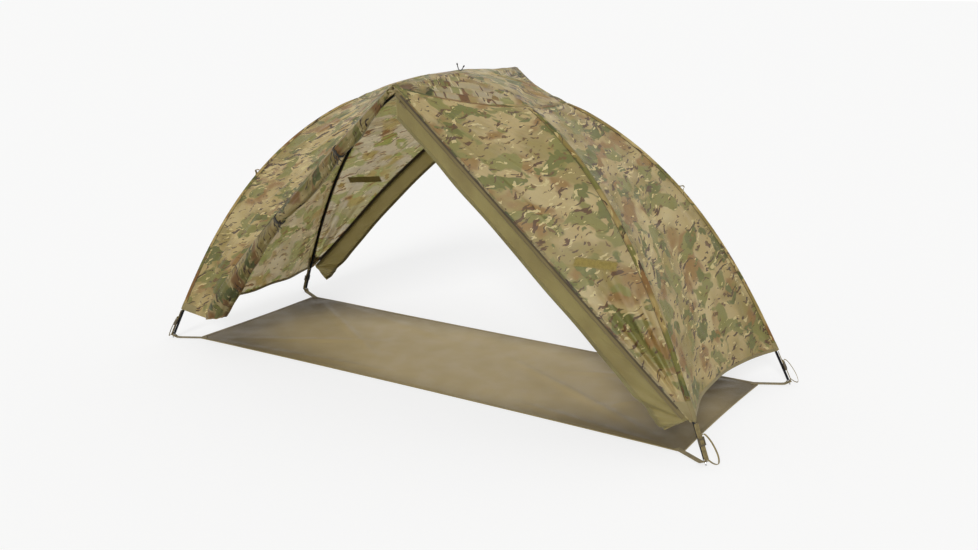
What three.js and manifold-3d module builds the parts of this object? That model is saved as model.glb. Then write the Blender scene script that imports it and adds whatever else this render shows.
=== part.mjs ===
// A one-person bivvy tent in millimetres: two crossing arch poles and a short brow pole carry a
// sewn fly with a zipped door in front and behind, over a groundsheet strapped to the pole feet.
// +X runs along the bed, +Y from the front door to the back one, +Z up from the ground.
// The tent looks the same after half a turn about Z.
import * as THREE from "three";
import { mergeVertices } from "three/addons/utils/BufferGeometryUtils.js";
import Module from "manifold-3d";

// Arches: places of the feet, height where they cross, and the shape of the bent pole
const footSpanX = 2300;
const footSpanY = 808;
const crossingHeight = 1079;
const archShares = [0.203, 0.343, -0.321];
const poleRadius = 4.4;
const boreRadius = 3.4;
const ferruleClearance = 0.35;
const sectionsPerPole = 5;
const stepsPerSection = 9;
const tubeSides = 8;

// Pole tips: a steel pin below a shoulder, and a spigot in the tube's bore
const pinRadius = 2.5;
const pinLength = 16;
const collarRadius = 4.7;
const collarLength = 4.5;
const tipSpigotLength = 25;
const pinRoundShare = 0.7;

// Shock cord in the arches
const shockCordRadius = 1.3;

// Brow pole: its ends carry the two peaks of the fly
const browInset = 7;
const browDrop = 18;
const browSteps = 5;

// Fly: cloth modelled as a thin shell over the poles
const shellThickness = 2;
const seatClearance = 0.8;
const seamGap = 0.4;
const contactGap = 0.3;
const doorPlaneInset = 1;
const capReach = 381;
const capSideSag = 17;
const capEndSag = 8;
const cornerHeight = 121;
const endPanelSag = 66;
const endPanelFoldDepth = 4;
const endPanelFolds = 3;
const endPanelCut = 42;
const sidePanelSagShare = 0.022;
const sidePanelFoldShare = 0.012;
const zipEdgeFootInset = 58;
const zipEdgeFootHeight = 127.44;
const rollEdgeControlInset = 238;
const rollEdgeControlHeight = 268;
const rollEdgeFootInset = 227;
const rollEdgeFootHeight = 114;

// Door zip on the edge that opens, and the storm flap behind it
const zipTapeWidth = 13;
const zipTapeThickness = 1;
const zipCoilRadius = 1.6;
const zipStart = 26;
const zipFinish = 24;
const sliderLength = 13;
const sliderWall = 1.1;
const sliderClearance = 0.45;
const sliderRest = 52;
const sliderEarLength = 3.2;
const sliderEarHeight = 5.2;
const sliderPinRadius = 0.9;
const pullWidth = 6.5;
const pullThickness = 1.4;
const pullLength = 30;
const pullEyeClearance = 0.5;
const pullEyeWall = 1;
const flapTopWidth = 73;
const flapFootWidth = 94;
const flapThickness = 1.5;
const flapSetBack = 6;
const flapTopInset = 1.2;
const flapStart = 14;
const flapFinish = 10;
const flapFootRise = 24;
const flapRippleDepth = 3;
const flapRipples = 3;
const flapSteps = [18, 6];

// Rolled door on the other edge, drawn in by two toggled loops
const rollRadius = 40;
const rollSides = 12;
const rollSteps = 26;
const rollLeanAngle = 20;
const rollStart = 28;
const rollFinish = 6;
const rollLobeShare = 0.05;
const rollLobes = 3;
const rollRadiusShares = [
  [0, 0.2], [0.08, 0.42], [0.16, 0.62], [0.231, 0.52], [0.3, 0.66], [0.4, 0.72],
  [0.48, 0.58], [0.538, 0.46], [0.6, 0.6], [0.72, 0.82], [0.84, 1], [0.91, 0.92],
  [0.97, 0.5], [1, 0.12],
];
const toggleShares = [6 / rollSteps, 14 / rollSteps];
const toggleRadius = 3;
const toggleWaistShare = 0.72;
const toggleLength = 28;
const toggleNeckRadius = 2;
const toggleNeckLength = 2.4;

// Olive tapes on the outside of the zip-edge panels
const oliveTapeLength = 127;
const oliveTapeWidth = 25;
const oliveTapeThickness = 1.2;
const oliveTapeInset = 415;
const oliveTapeRises = { front: 125.7, back: 143.7 };
const oliveTapeSteps = [6, 2];

// Groundsheet, drawn in from the feet, and the straps at its corners
const sheetEndMargin = 96.5;
const sheetSideMargin = 52.5;
const sheetThickness = 1.5;
const sheetSideCurve = 22;
const sheetEndCurve = 14;
const sheetCurveSteps = 10;
const strapWidth = 20;
const strapThickness = 1.4;
const strapSewnLength = 32;
const strapRiseLength = 34;
const strapLiftShare = 0.125;
const grommetClearance = 0.9;
const strapEndLength = 9;

// Fly corners: a strap from the pin through a ladder lock, ending in a pull loop
const cornerStrapWidth = 18;
const cornerStrapThickness = 1.4;
const cornerStrapHeel = 9;
const cornerStrapBendSteps = 4;
const cornerStrapTop = 96;
const strapStackGap = 1.1;
const pullLoopReach = 50;
const pullLoopTop = 88;
const pullLoopLow = 2;
const pullLoopWidth = 6;
const pullLoopSteps = 16;
const pullLoopPathShares = [[0.4, 1.08], [0.8, 0.75], [1, 0.28], [0.85, 0], [0.45, 0.03], [0, 0.23]];
const pullLoopReachShares = { front_left: 0.22, back_right: 0.5, back_left: 0.22, front_right: 1 };
const lockFoot = 60;
const lockLength = 27;
const lockBarWidth = 4;
const lockBarThickness = 2.6;
const lockRailWidth = 3;
const lockClearance = 0.45;
const tabWidth = 18;
const tabThickness = 1.4;
const tabHemLap = 4;

// Tie that holds the crossing, its two short ends standing up through the cap
const tieRadius = 1.6;
const tieSpread = 14;
const tieHeight = 26;
const tieSides = 6;
const tieSteps = 16;
const tiePathShares = [
  [-1, 0, 1], [-0.6, 0, 0.3], [-0.25, 0, 0.02], [0.25, 0.1, 0.02], [0.6, 0.25, 0.3], [1, 0.5, 0.7],
];

// How finely the arch lengths and the cloth are divided
const archSamples = 600;
const capSectorSteps = 4;
const capRings = 5;
const endPanelSteps = [12, 14];
const sidePanelSteps = [16, 8];
const slopeStep = 1e-3;
const seatRounds = 4;
const placeRounds = 12;

const wasm = await Module();
wasm.setup();

const upward = new THREE.Vector3(0, 0, 1);
const vector = (x, y, z) => new THREE.Vector3(x, y, z);
const mix = THREE.MathUtils.lerp;
const bow = (share) => 4 * share * (1 - share);

const halfSpan = Math.hypot(footSpanX, footSpanY) / 2;
const headingX = footSpanX / 2 / halfSpan;
const headingY = footSpanY / 2 / halfSpan;
const poleStack = 2 * poleRadius + contactGap;
const browHalfLength = footSpanY / 2 - browInset;
const doorPlane = browHalfLength + seatClearance + poleRadius + doorPlaneInset;

const finishes = {
  fly: { color: 0x8a8459, roughness: 0.85, metalness: 0 },
  tan: { color: 0x8a7d62, roughness: 0.8, metalness: 0 },
  webbing: { color: 0x8f8157, roughness: 0.85, metalness: 0 },
  olive: { color: 0x6e6332, roughness: 0.9, metalness: 0 },
  pole: { color: 0x17171a, roughness: 0.4, metalness: 0.6 },
  steel: { color: 0xb9b9ba, roughness: 0.35, metalness: 0.9 },
  plastic: { color: 0x7c7155, roughness: 0.5, metalness: 0 },
  zip: { color: 0x5b543c, roughness: 0.6, metalness: 0 },
  cord: { color: 0x2c2b26, roughness: 0.8, metalness: 0 },
};

function piece(name, geometry, finish) {
  const mesh = new THREE.Mesh(geometry, new THREE.MeshStandardMaterial(finishes[finish]));
  mesh.name = name;
  return mesh;
}

// Booleans on closed geometries
function solidOf(geometry) {
  const bare = geometry.index ? geometry.toNonIndexed() : geometry.clone();
  bare.deleteAttribute("normal");
  bare.deleteAttribute("uv");
  const merged = mergeVertices(bare, 1e-3);
  return new wasm.Manifold(new wasm.Mesh({
    numProp: 3,
    vertProperties: merged.attributes.position.array,
    triVerts: new Uint32Array(merged.index.array),
  }));
}

function geometryOf(solid) {
  const mesh = solid.getMesh();
  const geometry = new THREE.BufferGeometry();
  const positions = new Float32Array(mesh.numVert * 3);
  for (let i = 0; i < mesh.numVert; i += 1) {
    const start = i * mesh.numProp;
    positions.set(mesh.vertProperties.subarray(start, start + 3), i * 3);
  }
  geometry.setAttribute("position", new THREE.BufferAttribute(positions, 3));
  geometry.setIndex(new THREE.BufferAttribute(mesh.triVerts, 1));
  return geometry;
}

const joined = (...parts) => geometryOf(parts.map(solidOf).reduce((a, b) => a.add(b)));
const cut = (body, cutter) => geometryOf(solidOf(body).subtract(solidOf(cutter)));

// A bent arch pole, measured from one foot over the top to the other
class ArchCurve extends THREE.Curve {
  constructor(towardsX, towardsY, height) {
    super();
    this.towards = vector(towardsX * headingX, towardsY * headingY, 0);
    this.height = height;
    this.arcLengthDivisions = archSamples;
  }

  getPoint(t, target = vector(0, 0, 0)) {
    const reach = 2 * t - 1;
    const square = reach * reach;
    const [a, b, c] = archShares;
    const fullness = 1 + square * (a + square * (b + square * c));
    return target.copy(this.towards).multiplyScalar(reach * halfSpan)
      .setZ(this.height * (1 - square) * fullness);
  }
}

const lowArchHeight = crossingHeight - poleStack;
const archAt = {
  front_left: new ArchCurve(1, 1, lowArchHeight),
  back_right: new ArchCurve(-1, -1, lowArchHeight),
  back_left: new ArchCurve(1, -1, crossingHeight),
  front_right: new ArchCurve(-1, 1, crossingHeight),
};
const cornerNames = Object.keys(archAt);

function placeOn(curve, length) {
  const share = Math.min(length / curve.getLength(), 1);
  const origin = curve.getPointAt(share);
  const along = curve.getTangentAt(share);
  const side = vector(-along.y, along.x, 0).normalize();
  const over = along.clone().cross(side);
  return { origin, along, side, over };
}

// Turns a shape made round the Y axis to follow a curve, its Y being the length along the curve
function bentAlong(curve, geometry) {
  const places = geometry.attributes.position;
  for (let i = 0; i < places.count; i += 1) {
    const { origin, side, over } = placeOn(curve, places.getY(i));
    origin.addScaledVector(over, places.getX(i)).addScaledVector(side, places.getZ(i));
    places.setXYZ(i, origin.x, origin.y, origin.z);
  }
  return geometry;
}

const turned = (profile, sides) => new THREE.LatheGeometry(
  profile.map(([radius, height]) => new THREE.Vector2(radius, height)), sides,
);

const tipLength = pinLength + collarLength;
const tubeStart = tipLength + contactGap;

function stationsBetween(first, last, step) {
  const stations = [first];
  const count = Math.round((last - first) / step);
  for (let i = 1; i < count; i += 1) stations.push(mix(first, last, i / count));
  return [...stations, last];
}

// One tube of a shock-corded pole, with the ferrule bonded in its far end unless it is the last
function tubeSection(curve, start, end, step, hasFerrule) {
  const stations = stationsBetween(start, end, step);
  const outside = stations.map((at) => [poleRadius, at]);
  const inside = stations.map((at) => [boreRadius, at]).reverse();
  if (hasFerrule) {
    const radius = boreRadius - ferruleClearance;
    const bore = shockCordRadius + ferruleClearance;
    const tip = end + step;
    const root = stations[stations.length - 2];
    outside.push([radius, end], [radius, tip], [bore, tip], [bore, end], [bore, root]);
    inside.shift();
  }
  return bentAlong(curve, turned([...outside, ...inside, outside[0]], tubeSides));
}

function archPole(group, name, curve) {
  const length = curve.getLength();
  const sectionLength = (length - 2 * tubeStart) / sectionsPerPole;
  const step = sectionLength / stepsPerSection;
  for (let i = 0; i < sectionsPerPole; i += 1) {
    const isLast = i === sectionsPerPole - 1;
    const start = tubeStart + i * sectionLength + (i > 0 ? contactGap / 2 : 0);
    const end = tubeStart + (i + 1) * sectionLength - (isLast ? 0 : contactGap / 2);
    const section = tubeSection(curve, start, end, step, !isLast);
    group.add(piece(`${name}_section_${i + 1}`, section, "pole"));
  }
  const cordStart = tipLength + tipSpigotLength + contactGap;
  const grid = stationsBetween(tubeStart, length - tubeStart, step);
  const stations = [cordStart, ...grid.filter((at) => at > cordStart && at < length - cordStart)];
  const profile = [...stations, length - cordStart].map((at) => [shockCordRadius, at]);
  const closed = [[0, cordStart], ...profile, [0, length - cordStart]];
  group.add(piece(`${name}_shock_cord`, bentAlong(curve, turned(closed, tubeSides)), "cord"));
}

// Steel pin, shoulder and spigot in one tip
function poleTip(curve) {
  const lean = placeOn(curve, 0).along.z;
  const ball = pinRadius / lean;
  const spigotRadius = boreRadius - ferruleClearance;
  const profile = [
    [0, ball - pinRadius], [pinRadius * pinRoundShare, ball - pinRadius * pinRoundShare],
    [pinRadius, ball], [pinRadius, pinLength], [collarRadius, pinLength],
    [collarRadius, tipLength], [spigotRadius, tipLength],
    [spigotRadius, tipLength + tipSpigotLength], [0, tipLength + tipSpigotLength],
  ];
  return bentAlong(curve, turned(profile, tubeSides * 2));
}

// The brow pole runs over the crossing from peak to peak
const browTop = crossingHeight + poleStack;
const browCurve = new THREE.QuadraticBezierCurve3(
  vector(0, -browHalfLength, browTop - browDrop),
  vector(0, 0, browTop + browDrop),
  vector(0, browHalfLength, browTop - browDrop),
);
browCurve.arcLengthDivisions = archSamples;

function browPole(group) {
  const length = browCurve.getLength();
  const middle = length / 2;
  const step = middle / browSteps;
  const front = tubeSection(browCurve, 0, middle - contactGap / 2, step, true);
  const back = tubeSection(browCurve, middle + contactGap / 2, length, step, false);
  group.add(piece("brow_pole_front_section", front, "pole"));
  group.add(piece("brow_pole_back_section", back, "pole"));
}

// The fly's shape: every function gives a point of the inner face of the cloth

const capLength = (name) => {
  const curve = archAt[name];
  const arc = curve.getLengths(archSamples);
  const at = (1 - capReach / halfSpan) / 2;
  const index = at * archSamples;
  const low = Math.floor(index);
  return mix(arc[low], arc[low + 1], index - low);
};

function cornerLength(name) {
  const curve = archAt[name];
  const arc = curve.getLengths(archSamples);
  let low = 0;
  while (curve.getPoint((low + 1) / archSamples).z < cornerHeight) low += 1;
  const bottom = curve.getPoint(low / archSamples).z;
  const top = curve.getPoint((low + 1) / archSamples).z;
  return mix(arc[low], arc[low + 1], (cornerHeight - bottom) / (top - bottom));
}

const edges = Object.fromEntries(cornerNames.map((name) => [name, {
  cap: capLength(name), corner: cornerLength(name),
}]));

// Peak of the front door; the back one is its half-turn
const peak = vector(0, -doorPlane, browTop - browDrop + poleRadius + seatClearance);
const inDoorPlane = (side, inset, height) => vector(side * (footSpanX / 2 - inset), -doorPlane, height);
const zipEdgeFoot = inDoorPlane(1, zipEdgeFootInset, zipEdgeFootHeight);
const zipEdgeLength = peak.distanceTo(zipEdgeFoot);
const zipEdge = zipEdgeFoot.clone().sub(peak).normalize();
const zipEdgeSlope = -zipEdge.z / zipEdge.x;
const doorEdges = {
  front_right: new THREE.LineCurve3(peak, zipEdgeFoot),
  front_left: new THREE.QuadraticBezierCurve3(
    peak, inDoorPlane(-1, rollEdgeControlInset, rollEdgeControlHeight),
    inDoorPlane(-1, rollEdgeFootInset, rollEdgeFootHeight),
  ),
};
const rollEdge = doorEdges.front_left;
rollEdge.arcLengthDivisions = archSamples;

// A place on a front door edge, which runs on straight past both ends
function doorEdgeAt(name, share) {
  const edge = doorEdges[name];
  const inside = THREE.MathUtils.clamp(share, 0, 1);
  const past = (share - inside) * edge.getLength();
  return edge.getPointAt(inside).addScaledVector(edge.getTangentAt(inside), past);
}

const halfTurn = (point) => vector(-point.x, -point.y, point.z);

// Where the cloth turns over a pole, so that both panels pass the tube at seatClearance
function seatOn(name, share) {
  const isFront = name.startsWith("front");
  const isRight = name.endsWith("right");
  const curve = archAt[name];
  const { corner, cap } = edges[name];
  const { origin, along } = placeOn(curve, mix(cap, corner, share));
  const outward = vector(isRight ? 1 : -1, 0, 0);
  const doorwards = vector(0, isFront ? -1 : 1, 0);
  const turn = isFront ? (point) => point.clone() : halfTurn;
  const edgePoint = turn(doorEdgeAt(isFront === isRight ? "front_right" : "front_left", share));
  const facing = (across, side) => {
    const normal = along.clone().cross(across).normalize();
    return normal.dot(side) < 0 ? normal.negate() : normal;
  };
  const level = facing(doorwards, outward);
  const towardsEnd = doorwards.clone().multiplyScalar(-Math.abs(origin.y))
    .addScaledVector(level, -2 * mix(capEndSag, endPanelSag, share));
  const endNormal = facing(towardsEnd, outward);
  let seat = origin;
  for (let round = 0; round < seatRounds; round += 1) {
    const sideNormal = facing(edgePoint.clone().sub(seat), doorwards);
    const ridge = sideNormal.add(endNormal).normalize();
    const miter = ridge.dot(endNormal);
    seat = origin.clone().addScaledVector(ridge, (poleRadius + seatClearance) / miter);
  }
  return seat;
}

// Six ribs of the cap, in order round the tent
const capRibs = [
  { end: peak, top: browTop - browDrop, centre: browTop },
  { end: seatOn("front_right", 0), name: "front_right" },
  { end: seatOn("back_right", 0), name: "back_right" },
  { end: halfTurn(peak), top: browTop - browDrop, centre: browTop },
  { end: seatOn("back_left", 0), name: "back_left" },
  { end: seatOn("front_left", 0), name: "front_left" },
];
const capTop = browTop + poleRadius + seatClearance;

function ribHeight(rib, reach) {
  if (!rib.name) return capTop - (capTop - rib.end.z) * reach * reach;
  const curve = archAt[rib.name];
  const poleHeight = (share) => curve.getPoint((1 - capReach * share / halfSpan) / 2).z;
  const overCentre = capTop - poleHeight(0);
  const overEnd = rib.end.z - poleHeight(1);
  return poleHeight(reach) + mix(overCentre, overEnd, reach);
}

function capPoint(sector, share, reach) {
  const first = capRibs[sector];
  const second = capRibs[(sector + 1) % capRibs.length];
  const isEnd = sector % 3 === 1;
  const sag = (isEnd ? capEndSag : capSideSag) * bow(share) * reach * reach;
  const point = first.end.clone().lerp(second.end, share).multiplyScalar(reach);
  return point.setZ(mix(ribHeight(first, reach), ribHeight(second, reach), share) - sag);
}

// A side panel between its door edge (across 0) and its pole (across 1), peak (down 0) to corner
function sidePanelPoint(name, down, across) {
  const isRight = name === "front_right";
  const edgePoint = doorEdgeAt(name, down);
  const polePoint = seatOn(name, down);
  const point = edgePoint.clone().lerp(polePoint, across);
  const inward = vector(isRight ? -zipEdgeSlope : zipEdgeSlope, 1, -1).normalize();
  const width = edgePoint.distanceTo(polePoint);
  const folds = sidePanelFoldShare * Math.sin(2 * Math.PI * across) * bow(down);
  point.addScaledVector(inward, width * (sidePanelSagShare + folds) * bow(across) * down);
  point.z -= capSideSag * bow(across) * (1 - down) * (1 - down);
  return point;
}

// The left end panel between the front pole (across 0) and the back pole (across 1)
function endPanelPoint(down, across) {
  const { cap, corner } = edges.front_left;
  const cutUp = endPanelCut / (cap - corner) * bow(across);
  const level = down * (1 - cutUp);
  const front = seatOn("front_left", level);
  const back = seatOn("back_left", level);
  const { over } = placeOn(archAt.front_left, mix(cap, corner, level));
  const inward = vector(over.x, 0, over.z).normalize().lerp(upward, 1 - level).negate();
  const folds = endPanelFoldDepth * Math.sin(2 * Math.PI * endPanelFolds * across) * bow(across) * level;
  const sag = mix(capEndSag, endPanelSag, level) * bow(across) + folds;
  return front.lerp(back, across).addScaledVector(inward, sag);
}

// A closed shell over a surface: across and down run 0 to 1, and outside tells its outer side
function shell(surface, steps, thickness, outside, lift = 0) {
  const [across, down] = steps;
  const normalAt = (u, v) => {
    const du = surface(u + slopeStep, v).sub(surface(u - slopeStep, v));
    const dv = surface(u, v + slopeStep).sub(surface(u, v - slopeStep));
    return du.cross(dv).normalize();
  };
  const flip = normalAt(0.5, 0.5).dot(outside) < 0 ? -1 : 1;
  const geometry = new THREE.BoxGeometry(1, 1, 1, across, down, 1);
  const places = geometry.attributes.position;
  for (let i = 0; i < places.count; i += 1) {
    const u = 0.5 + flip * places.getX(i);
    const v = 0.5 + places.getY(i);
    const height = lift + thickness * (0.5 + places.getZ(i));
    const point = surface(u, v).addScaledVector(normalAt(u, v), flip * height);
    places.setXYZ(i, point.x, point.y, point.z);
  }
  return geometry;
}

const within = (share, margin) => mix(margin, 1 - margin, share);

function topCap() {
  const sectors = capRibs.length;
  const across = sectors * capSectorSteps;
  const margin = seamGap / capReach;
  const top = [];
  const bottom = [];
  const place = (turn, reach, lift) => {
    const sector = Math.floor(turn / capSectorSteps) % sectors;
    const point = capPoint(sector, (turn % capSectorSteps) / capSectorSteps, reach * (1 - margin));
    return point.setZ(point.z + lift);
  };
  const triangles = [];
  const face = (a, b, c) => triangles.push(...a.toArray(), ...b.toArray(), ...c.toArray());
  for (const [list, lift] of [[top, shellThickness], [bottom, 0]]) {
    for (let ring = 0; ring <= capRings; ring += 1) {
      list.push(Array.from({ length: across }, (_, turn) => place(turn, ring / capRings, lift)));
    }
  }
  for (let turn = 0; turn < across; turn += 1) {
    const next = (turn + 1) % across;
    for (let ring = 0; ring < capRings; ring += 1) {
      const near = [top[ring][turn], top[ring][next], top[ring + 1][next], top[ring + 1][turn]];
      const under = [
        bottom[ring][turn], bottom[ring][next], bottom[ring + 1][next], bottom[ring + 1][turn],
      ];
      face(near[0], near[3], near[2]);
      face(under[0], under[2], under[3]);
      if (ring > 0) {
        face(near[0], near[2], near[1]);
        face(under[0], under[1], under[2]);
      }
    }
    face(top[capRings][turn], bottom[capRings][turn], bottom[capRings][next]);
    face(top[capRings][turn], bottom[capRings][next], top[capRings][next]);
  }
  const geometry = new THREE.BufferGeometry();
  return geometry.setAttribute("position", new THREE.Float32BufferAttribute(triangles, 3));
}

function sidePanel(name) {
  const [down, across] = sidePanelSteps;
  const margin = seamGap / doorEdges[name].getLength();
  const surface = (v, u) => {
    const level = within(v, margin);
    const width = peak.distanceTo(capRibs[1].end) * (1 - level) + cornerStrapWidth * level;
    return sidePanelPoint(name, level, within(u, seamGap / width));
  };
  return shell(surface, [down, across], shellThickness, vector(0, -1, 0));
}

function endPanel() {
  const [across, down] = endPanelSteps;
  const width = 2 * Math.abs(seatOn("front_left", 0).y);
  const length = edges.front_left.cap - edges.front_left.corner;
  const surface = (u, v) => endPanelPoint(within(v, seamGap / length), within(u, seamGap / width));
  return shell(surface, [across, down], shellThickness, vector(-1, 0, 0));
}

// The strip of cloth behind the zip, hanging inward from the door edge
const zipInward = vector(zipEdge.z, 0, -zipEdge.x);

function stormFlap() {
  const surface = (u, v) => {
    const width = mix(flapTopWidth, flapFootWidth, u * u);
    const inset = flapTopInset + width * v;
    const start = flapStart + inset * zipEdgeSlope;
    const finish = zipEdgeLength - flapFinish - flapFootRise * v;
    const setBack = flapSetBack * THREE.MathUtils.smoothstep(v, 0, zipTapeWidth / width);
    const ripple = flapRippleDepth * Math.sin(2 * Math.PI * flapRipples * u) * v * v;
    return peak.clone().addScaledVector(zipEdge, mix(start, finish, u))
      .addScaledVector(zipInward, inset)
      .add(vector(0, contactGap + setBack + ripple, 0));
  };
  return shell(surface, flapSteps, flapThickness, vector(0, 1, 0));
}

// Shapes on the zip edge are drawn across the tape, x inward and y outward, and run up along z
function onZipEdge(geometry, lowerEnd) {
  const frame = new THREE.Matrix4().makeBasis(zipInward, vector(0, -1, 0), zipEdge.clone().negate());
  frame.setPosition(peak.clone().addScaledVector(zipEdge, lowerEnd));
  return geometry.applyMatrix4(frame);
}

const tapeMiddle = shellThickness / 2;
const coilCentre = contactGap + zipTapeWidth + zipCoilRadius;

function extrudedOutline(points, depth) {
  const shape = new THREE.Shape(points.map(([x, y]) => new THREE.Vector2(x, y)));
  return new THREE.ExtrudeGeometry(shape, { depth, bevelEnabled: false });
}

function arcPoints(centreX, centreY, radius, from, to, count) {
  return Array.from({ length: count + 1 }, (_, i) => {
    const angle = mix(from, to, i / count);
    return [centreX + radius * Math.cos(angle), centreY + radius * Math.sin(angle)];
  });
}

function zipTape() {
  const half = zipTapeThickness / 2;
  const open = Math.PI - Math.asin(half / zipCoilRadius);
  const coil = arcPoints(coilCentre, tapeMiddle, zipCoilRadius, -open, open, tubeSides);
  const outline = [[contactGap, tapeMiddle - half], ...coil, [contactGap, tapeMiddle + half]];
  const lowerEnd = zipEdgeLength - zipFinish;
  return onZipEdge(extrudedOutline(outline, lowerEnd - zipStart), lowerEnd);
}

const sliderBore = zipCoilRadius + sliderClearance;
const sliderHalf = sliderBore + sliderWall;
const eyeHeight = tapeMiddle + sliderHalf + sliderEarHeight - sliderWall - sliderPinRadius;

// The slider's body wraps the coil; two ears outside carry the pin of the pull
function zipSlider() {
  const slit = zipTapeThickness / 2 + sliderClearance;
  const open = Math.PI - Math.asin(slit / sliderBore);
  const near = coilCentre - sliderHalf;
  const far = coilCentre + sliderHalf;
  const outer = [
    [near, tapeMiddle - sliderHalf], [far, tapeMiddle - sliderHalf], [far, tapeMiddle + sliderHalf],
    [near, tapeMiddle + sliderHalf], [near, tapeMiddle + slit],
  ];
  const bore = arcPoints(coilCentre, tapeMiddle, sliderBore, open, -open, tubeSides);
  const outline = [...outer, ...bore, [near, tapeMiddle - slit]];
  const body = extrudedOutline(outline, sliderLength);
  const earInset = pullWidth / 4;
  const ears = [-1, 1].map((side) => new THREE.BoxGeometry(sliderWall, sliderEarHeight, sliderEarLength)
    .translate(
      coilCentre + side * (earInset + sliderClearance + sliderWall / 2),
      tapeMiddle + sliderHalf + sliderEarHeight / 2 - sliderWall / 2, sliderLength / 2,
    ));
  const pin = new THREE.CylinderGeometry(
    sliderPinRadius, sliderPinRadius, 2 * (earInset + sliderClearance) + sliderWall, tubeSides,
  );
  pin.rotateZ(Math.PI / 2).translate(coilCentre, eyeHeight, sliderLength / 2);
  return onZipEdge(joined(body, ...ears, pin), sliderRest + sliderLength);
}

// The pull turns on the slider's pin and lies down along the zip at rest
function zipPull() {
  const eyeRadius = sliderPinRadius + pullEyeClearance;
  const neckHalf = pullWidth / 4;
  const head = eyeRadius + pullEyeWall;
  const shoulder = sliderLength;
  const outline = [
    [-neckHalf, -head], [neckHalf, -head], [neckHalf, shoulder], [pullWidth / 2, shoulder + neckHalf],
    [pullWidth / 2, pullLength - neckHalf], [neckHalf, pullLength], [-neckHalf, pullLength],
    [-pullWidth / 2, pullLength - neckHalf], [-pullWidth / 2, shoulder + neckHalf], [-neckHalf, shoulder],
  ];
  const plate = extrudedOutline(outline, pullThickness).translate(0, 0, -pullThickness / 2);
  const knuckle = new THREE.CylinderGeometry(head, head, 2 * neckHalf, tubeSides * 2).rotateZ(Math.PI / 2);
  const eye = new THREE.CylinderGeometry(eyeRadius, eyeRadius, pullWidth, tubeSides).rotateZ(Math.PI / 2);
  const pull = cut(joined(plate, knuckle), eye).rotateX(-Math.PI / 2);
  return onZipEdge(pull.translate(coilCentre, eyeHeight, sliderLength / 2), sliderRest + sliderLength);
}

// The roll's radius at a share of its length, eased between the listed shares
function rollRadiusAt(share) {
  const next = Math.max(1, rollRadiusShares.findIndex(([at]) => at >= share));
  const [before, after] = [rollRadiusShares[next - 1], rollRadiusShares[next]];
  const way = (share - before[0]) / (after[0] - before[0]);
  return rollRadius * mix(before[1], after[1], (1 - Math.cos(Math.PI * way)) / 2);
}

// How far the roll's surface lies from its middle, the angle counted from the side away from the edge
function rollReach(share, angle) {
  const lobes = 1 + rollLobeShare * Math.cos(rollLobes * angle + 2 * Math.PI * share);
  return rollRadiusAt(share) * lobes;
}

const rollLean = THREE.MathUtils.degToRad(rollLeanAngle);
const doorOutward = vector(0, -1, 0);

// Where the roll hangs below its edge: the middle, and the way that points away from the edge
function rollPlace(share) {
  const length = rollEdge.getLength();
  const run = mix(rollStart, length - rollFinish, share) / length;
  const below = doorOutward.clone().cross(rollEdge.getTangentAt(run));
  const drop = rollRadiusAt(share) * (1 + rollLobeShare) + seamGap;
  const centre = rollEdge.getPointAt(run).addScaledVector(below, drop * Math.cos(rollLean))
    .addScaledVector(doorOutward, drop * Math.sin(rollLean));
  return { centre, below };
}

function rolledDoor() {
  const shares = stationsBetween(0, 1, 1 / rollSteps);
  const profile = [[0, 0], ...shares.map((share) => [1, share]), [0, 1]];
  const geometry = turned(profile, rollSides);
  const places = geometry.attributes.position;
  for (let i = 0; i < places.count; i += 1) {
    const share = places.getY(i);
    const { centre, below } = rollPlace(share);
    const angle = Math.atan2(places.getZ(i), places.getX(i));
    const radius = Math.hypot(places.getX(i), places.getZ(i)) * rollReach(share, angle);
    const point = centre.addScaledVector(below, radius * Math.cos(angle))
      .addScaledVector(doorOutward, -radius * Math.sin(angle));
    places.setXYZ(i, point.x, point.y, point.z);
  }
  return geometry;
}

function rollToggle(share) {
  const waist = toggleRadius * toggleWaistShare;
  const half = toggleLength / 2;
  const bar = turned([
    [0, -half], [waist, -half], [toggleRadius, -half + toggleRadius], [waist, 0],
    [toggleRadius, half - toggleRadius], [waist, half], [0, half],
  ], tubeSides);
  const reach = toggleNeckLength + toggleRadius;
  const neck = new THREE.CylinderGeometry(toggleNeckRadius, toggleNeckRadius, reach, tubeSides)
    .rotateX(Math.PI / 2).translate(0, 0, -reach / 2);
  const { centre, below } = rollPlace(share);
  const frame = new THREE.Matrix4().makeBasis(below.clone().cross(doorOutward), below, doorOutward);
  const surface = rollReach(share, -Math.PI / 2);
  frame.setPosition(centre.addScaledVector(doorOutward, surface + contactGap + reach));
  return joined(bar, neck).applyMatrix4(frame);
}

// Solves which share down and across a side panel lies at a place seen from the door
function panelShares(name, x, z) {
  let down = 0.5;
  let across = 0.5;
  for (let round = 0; round < placeRounds; round += 1) {
    const here = sidePanelPoint(name, down, across);
    const dDown = sidePanelPoint(name, down + slopeStep, across).sub(here).divideScalar(slopeStep);
    const dAcross = sidePanelPoint(name, down, across + slopeStep).sub(here).divideScalar(slopeStep);
    const size = dDown.x * dAcross.z - dDown.z * dAcross.x;
    const offX = x - here.x;
    const offZ = z - here.z;
    down += (offX * dAcross.z - offZ * dAcross.x) / size;
    across += (offZ * dDown.x - offX * dDown.z) / size;
  }
  return [down, across];
}

function oliveTape(rise) {
  const middleX = footSpanX / 2 - oliveTapeInset;
  const middleZ = peak.z - middleX * zipEdgeSlope + rise;
  const surface = (u, v) => {
    const x = middleX + (u - 1 / 2) * oliveTapeLength;
    const z = middleZ + (v - 1 / 2) * oliveTapeWidth;
    return sidePanelPoint("front_right", ...panelShares("front_right", x, z));
  };
  const lift = shellThickness + contactGap;
  return shell(surface, oliveTapeSteps, oliveTapeThickness, doorOutward, lift);
}

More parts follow.
